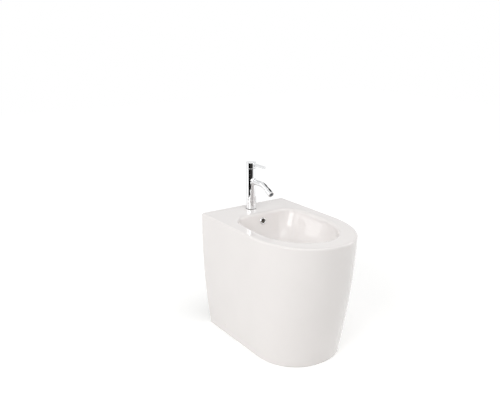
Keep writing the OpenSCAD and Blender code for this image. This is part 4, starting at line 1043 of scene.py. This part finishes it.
for part in frame["record"]["subparts"]:  # finishes on the nodes that stay
    node, finish = nodes[part["node"]], finishes[part["material_slot"]]
    for place in node.material_slots:
        place.material = finish
    if not node.material_slots:
        node.data.materials.append(finish)
print("finishes set on", len(nodes), "nodes")


# studio

studio = {"floor": "#F4F4F3", "floorSize": 12, "ambient": 0.5, "spread": 140, "aim": (0, 0, 0.3),
          "lift": (0.28, 0.55), "liftReach": (500, 2500)}
softboxes = {
    "key": {"place": (-2.5, -0.9, 1.75), "size": (1.7, 1.35), "power": 19},
    "rear": {"place": (-2.34, 1.53, 1.22), "size": (1.8, 0.8), "power": 4.5},
    "top": {"place": (-0.1, -0.85, 2.5), "size": (1.6, 1.4), "power": 9},
    "fill": {"place": (2.4, -1.1, 1.1), "size": (1.4, 1.4), "power": 8},
}
flags = {  # dark cards round the tap, seen only in reflections; angles from the front, negative to the left
    "left": {"from": -90.2, "to": -52.5, "distance": 950, "low": 140, "high": 400, "tone": "#050505"},
    "front": {"from": -52.5, "to": 5, "distance": 1300, "low": 147, "high": 500, "tone": "#3A3836"},
    "rear": {"from": 98, "to": 134, "distance": 600, "low": 830, "high": 4600, "tone": "#050505"},
}
view = {"place": (-1.1985, -1.5367, 1.0589), "azimuth": -34.389, "elevation": 16.054, "lens": 45.086,
        "sensor": 36}


def looked(tree):  # 1 where the camera, a mirror or a clear piece looks, 0 where light falls
    path = addNode(tree, "LightPath").outputs
    direct = addNode(tree, "Math", {"operation": "MAXIMUM"},
                     {0: path["Is Camera Ray"], 1: path["Is Glossy Ray"]})
    return addNode(tree, "Math", {"operation": "MAXIMUM"}, {0: direct, 1: path["Is Transmission Ray"]})


def paleFloor():
    half = studio["floorSize"] / 2 / mm
    floor = toObject("floor", box((-half, -half, -20), (half, half, -0.2)))
    material, tree = emptyTree("pale floor")
    matt = addNode(tree, "BsdfDiffuse", {"Color": linear(studio["floor"])})
    place = addNode(tree, "TexCoord").outputs["Object"]
    reach = addNode(tree, "VectorMath", {"operation": "LENGTH"}, {0: place}).outputs["Value"]
    near, far = studio["liftReach"]
    lift = addNode(tree, "MapRange",
                   {"From Min": near * mm, "From Max": far * mm, "To Min": studio["lift"][0],
                    "To Max": studio["lift"][1]}, {"Value": reach})
    glow = addNode(tree, "Emission", {}, {"Strength": lift})
    bright = addNode(tree, "AddShader", {}, {0: matt, 1: glow})
    shown = addNode(tree, "MixShader", {}, {0: looked(tree), 1: matt, 2: bright})
    addNode(tree, "OutputMaterial", {}, {"Surface": shown})
    floor.data.materials.append(material)


def softWorld():
    world = bpy.data.worlds.new("studio")
    world.use_nodes = True
    bpy.context.scene.world = world
    tree = world.node_tree
    tree.nodes.clear()
    soft = addNode(tree, "Background", {"Color": linear("#FFFFFF"), "Strength": studio["ambient"]})
    white = addNode(tree, "Background", {"Color": linear("#FFFFFF"), "Strength": 1})
    shown = addNode(tree, "MixShader", {}, {0: looked(tree), 1: soft, 2: white})
    addNode(tree, "OutputWorld", {}, {"Surface": shown})


def placed(name, data, spot, back):  # lamp or camera at a spot, looking against the back vector
    thing = bpy.data.objects.new(name, data)
    thing.location = spot
    thing.rotation_mode = "QUATERNION"
    thing.rotation_quaternion = (-back).to_track_quat("-Z", "Y")
    bpy.context.scene.collection.objects.link(thing)
    return thing


def softbox(name, place, size, power):
    lamp = bpy.data.lights.new(name, "AREA")
    lamp.shape, lamp.size, lamp.size_y, lamp.energy = "RECTANGLE", *size, power
    lamp.spread = math.radians(studio["spread"])
    placed(name, lamp, place, Vector(place) - Vector(studio["aim"]))


def darkFlag(name, card):
    arc = [math.radians(mix(card["from"], card["to"], s)) for s in steps(12)]
    near, far = card["distance"], card["distance"] + 10
    rings = [[(math.sin(a) * d, tapY - math.cos(a) * d, z) for d, line in ((near, arc), (far, arc[::-1]))
              for a in line] for z in (card["low"], card["high"])]
    flag = toObject(name, loft(rings, closed=False))
    material, tree = emptyTree(name)
    cloth = addNode(tree, "Emission", {"Color": linear(card["tone"])})
    addNode(tree, "OutputMaterial", {}, {"Surface": cloth})
    flag.data.materials.append(material)
    flag.visible_camera = flag.visible_diffuse = flag.visible_shadow = flag.visible_transmission = False


paleFloor()
softWorld()
for name, lamp in softboxes.items():
    softbox(name + "Softbox", **lamp)
for name, card in flags.items():
    darkFlag(name + "Flag", card)
side, up = math.radians(view["azimuth"]), math.radians(view["elevation"])
back = Vector((math.sin(side) * math.cos(up), -math.cos(side) * math.cos(up), math.sin(up)))
lens = bpy.data.cameras.new("camera")
lens.lens, lens.sensor_width = view["lens"], view["sensor"]
bpy.context.scene.camera = placed("camera", lens, view["place"], back)
bpy.context.scene.view_settings.view_transform = "Standard"
print("studio made")
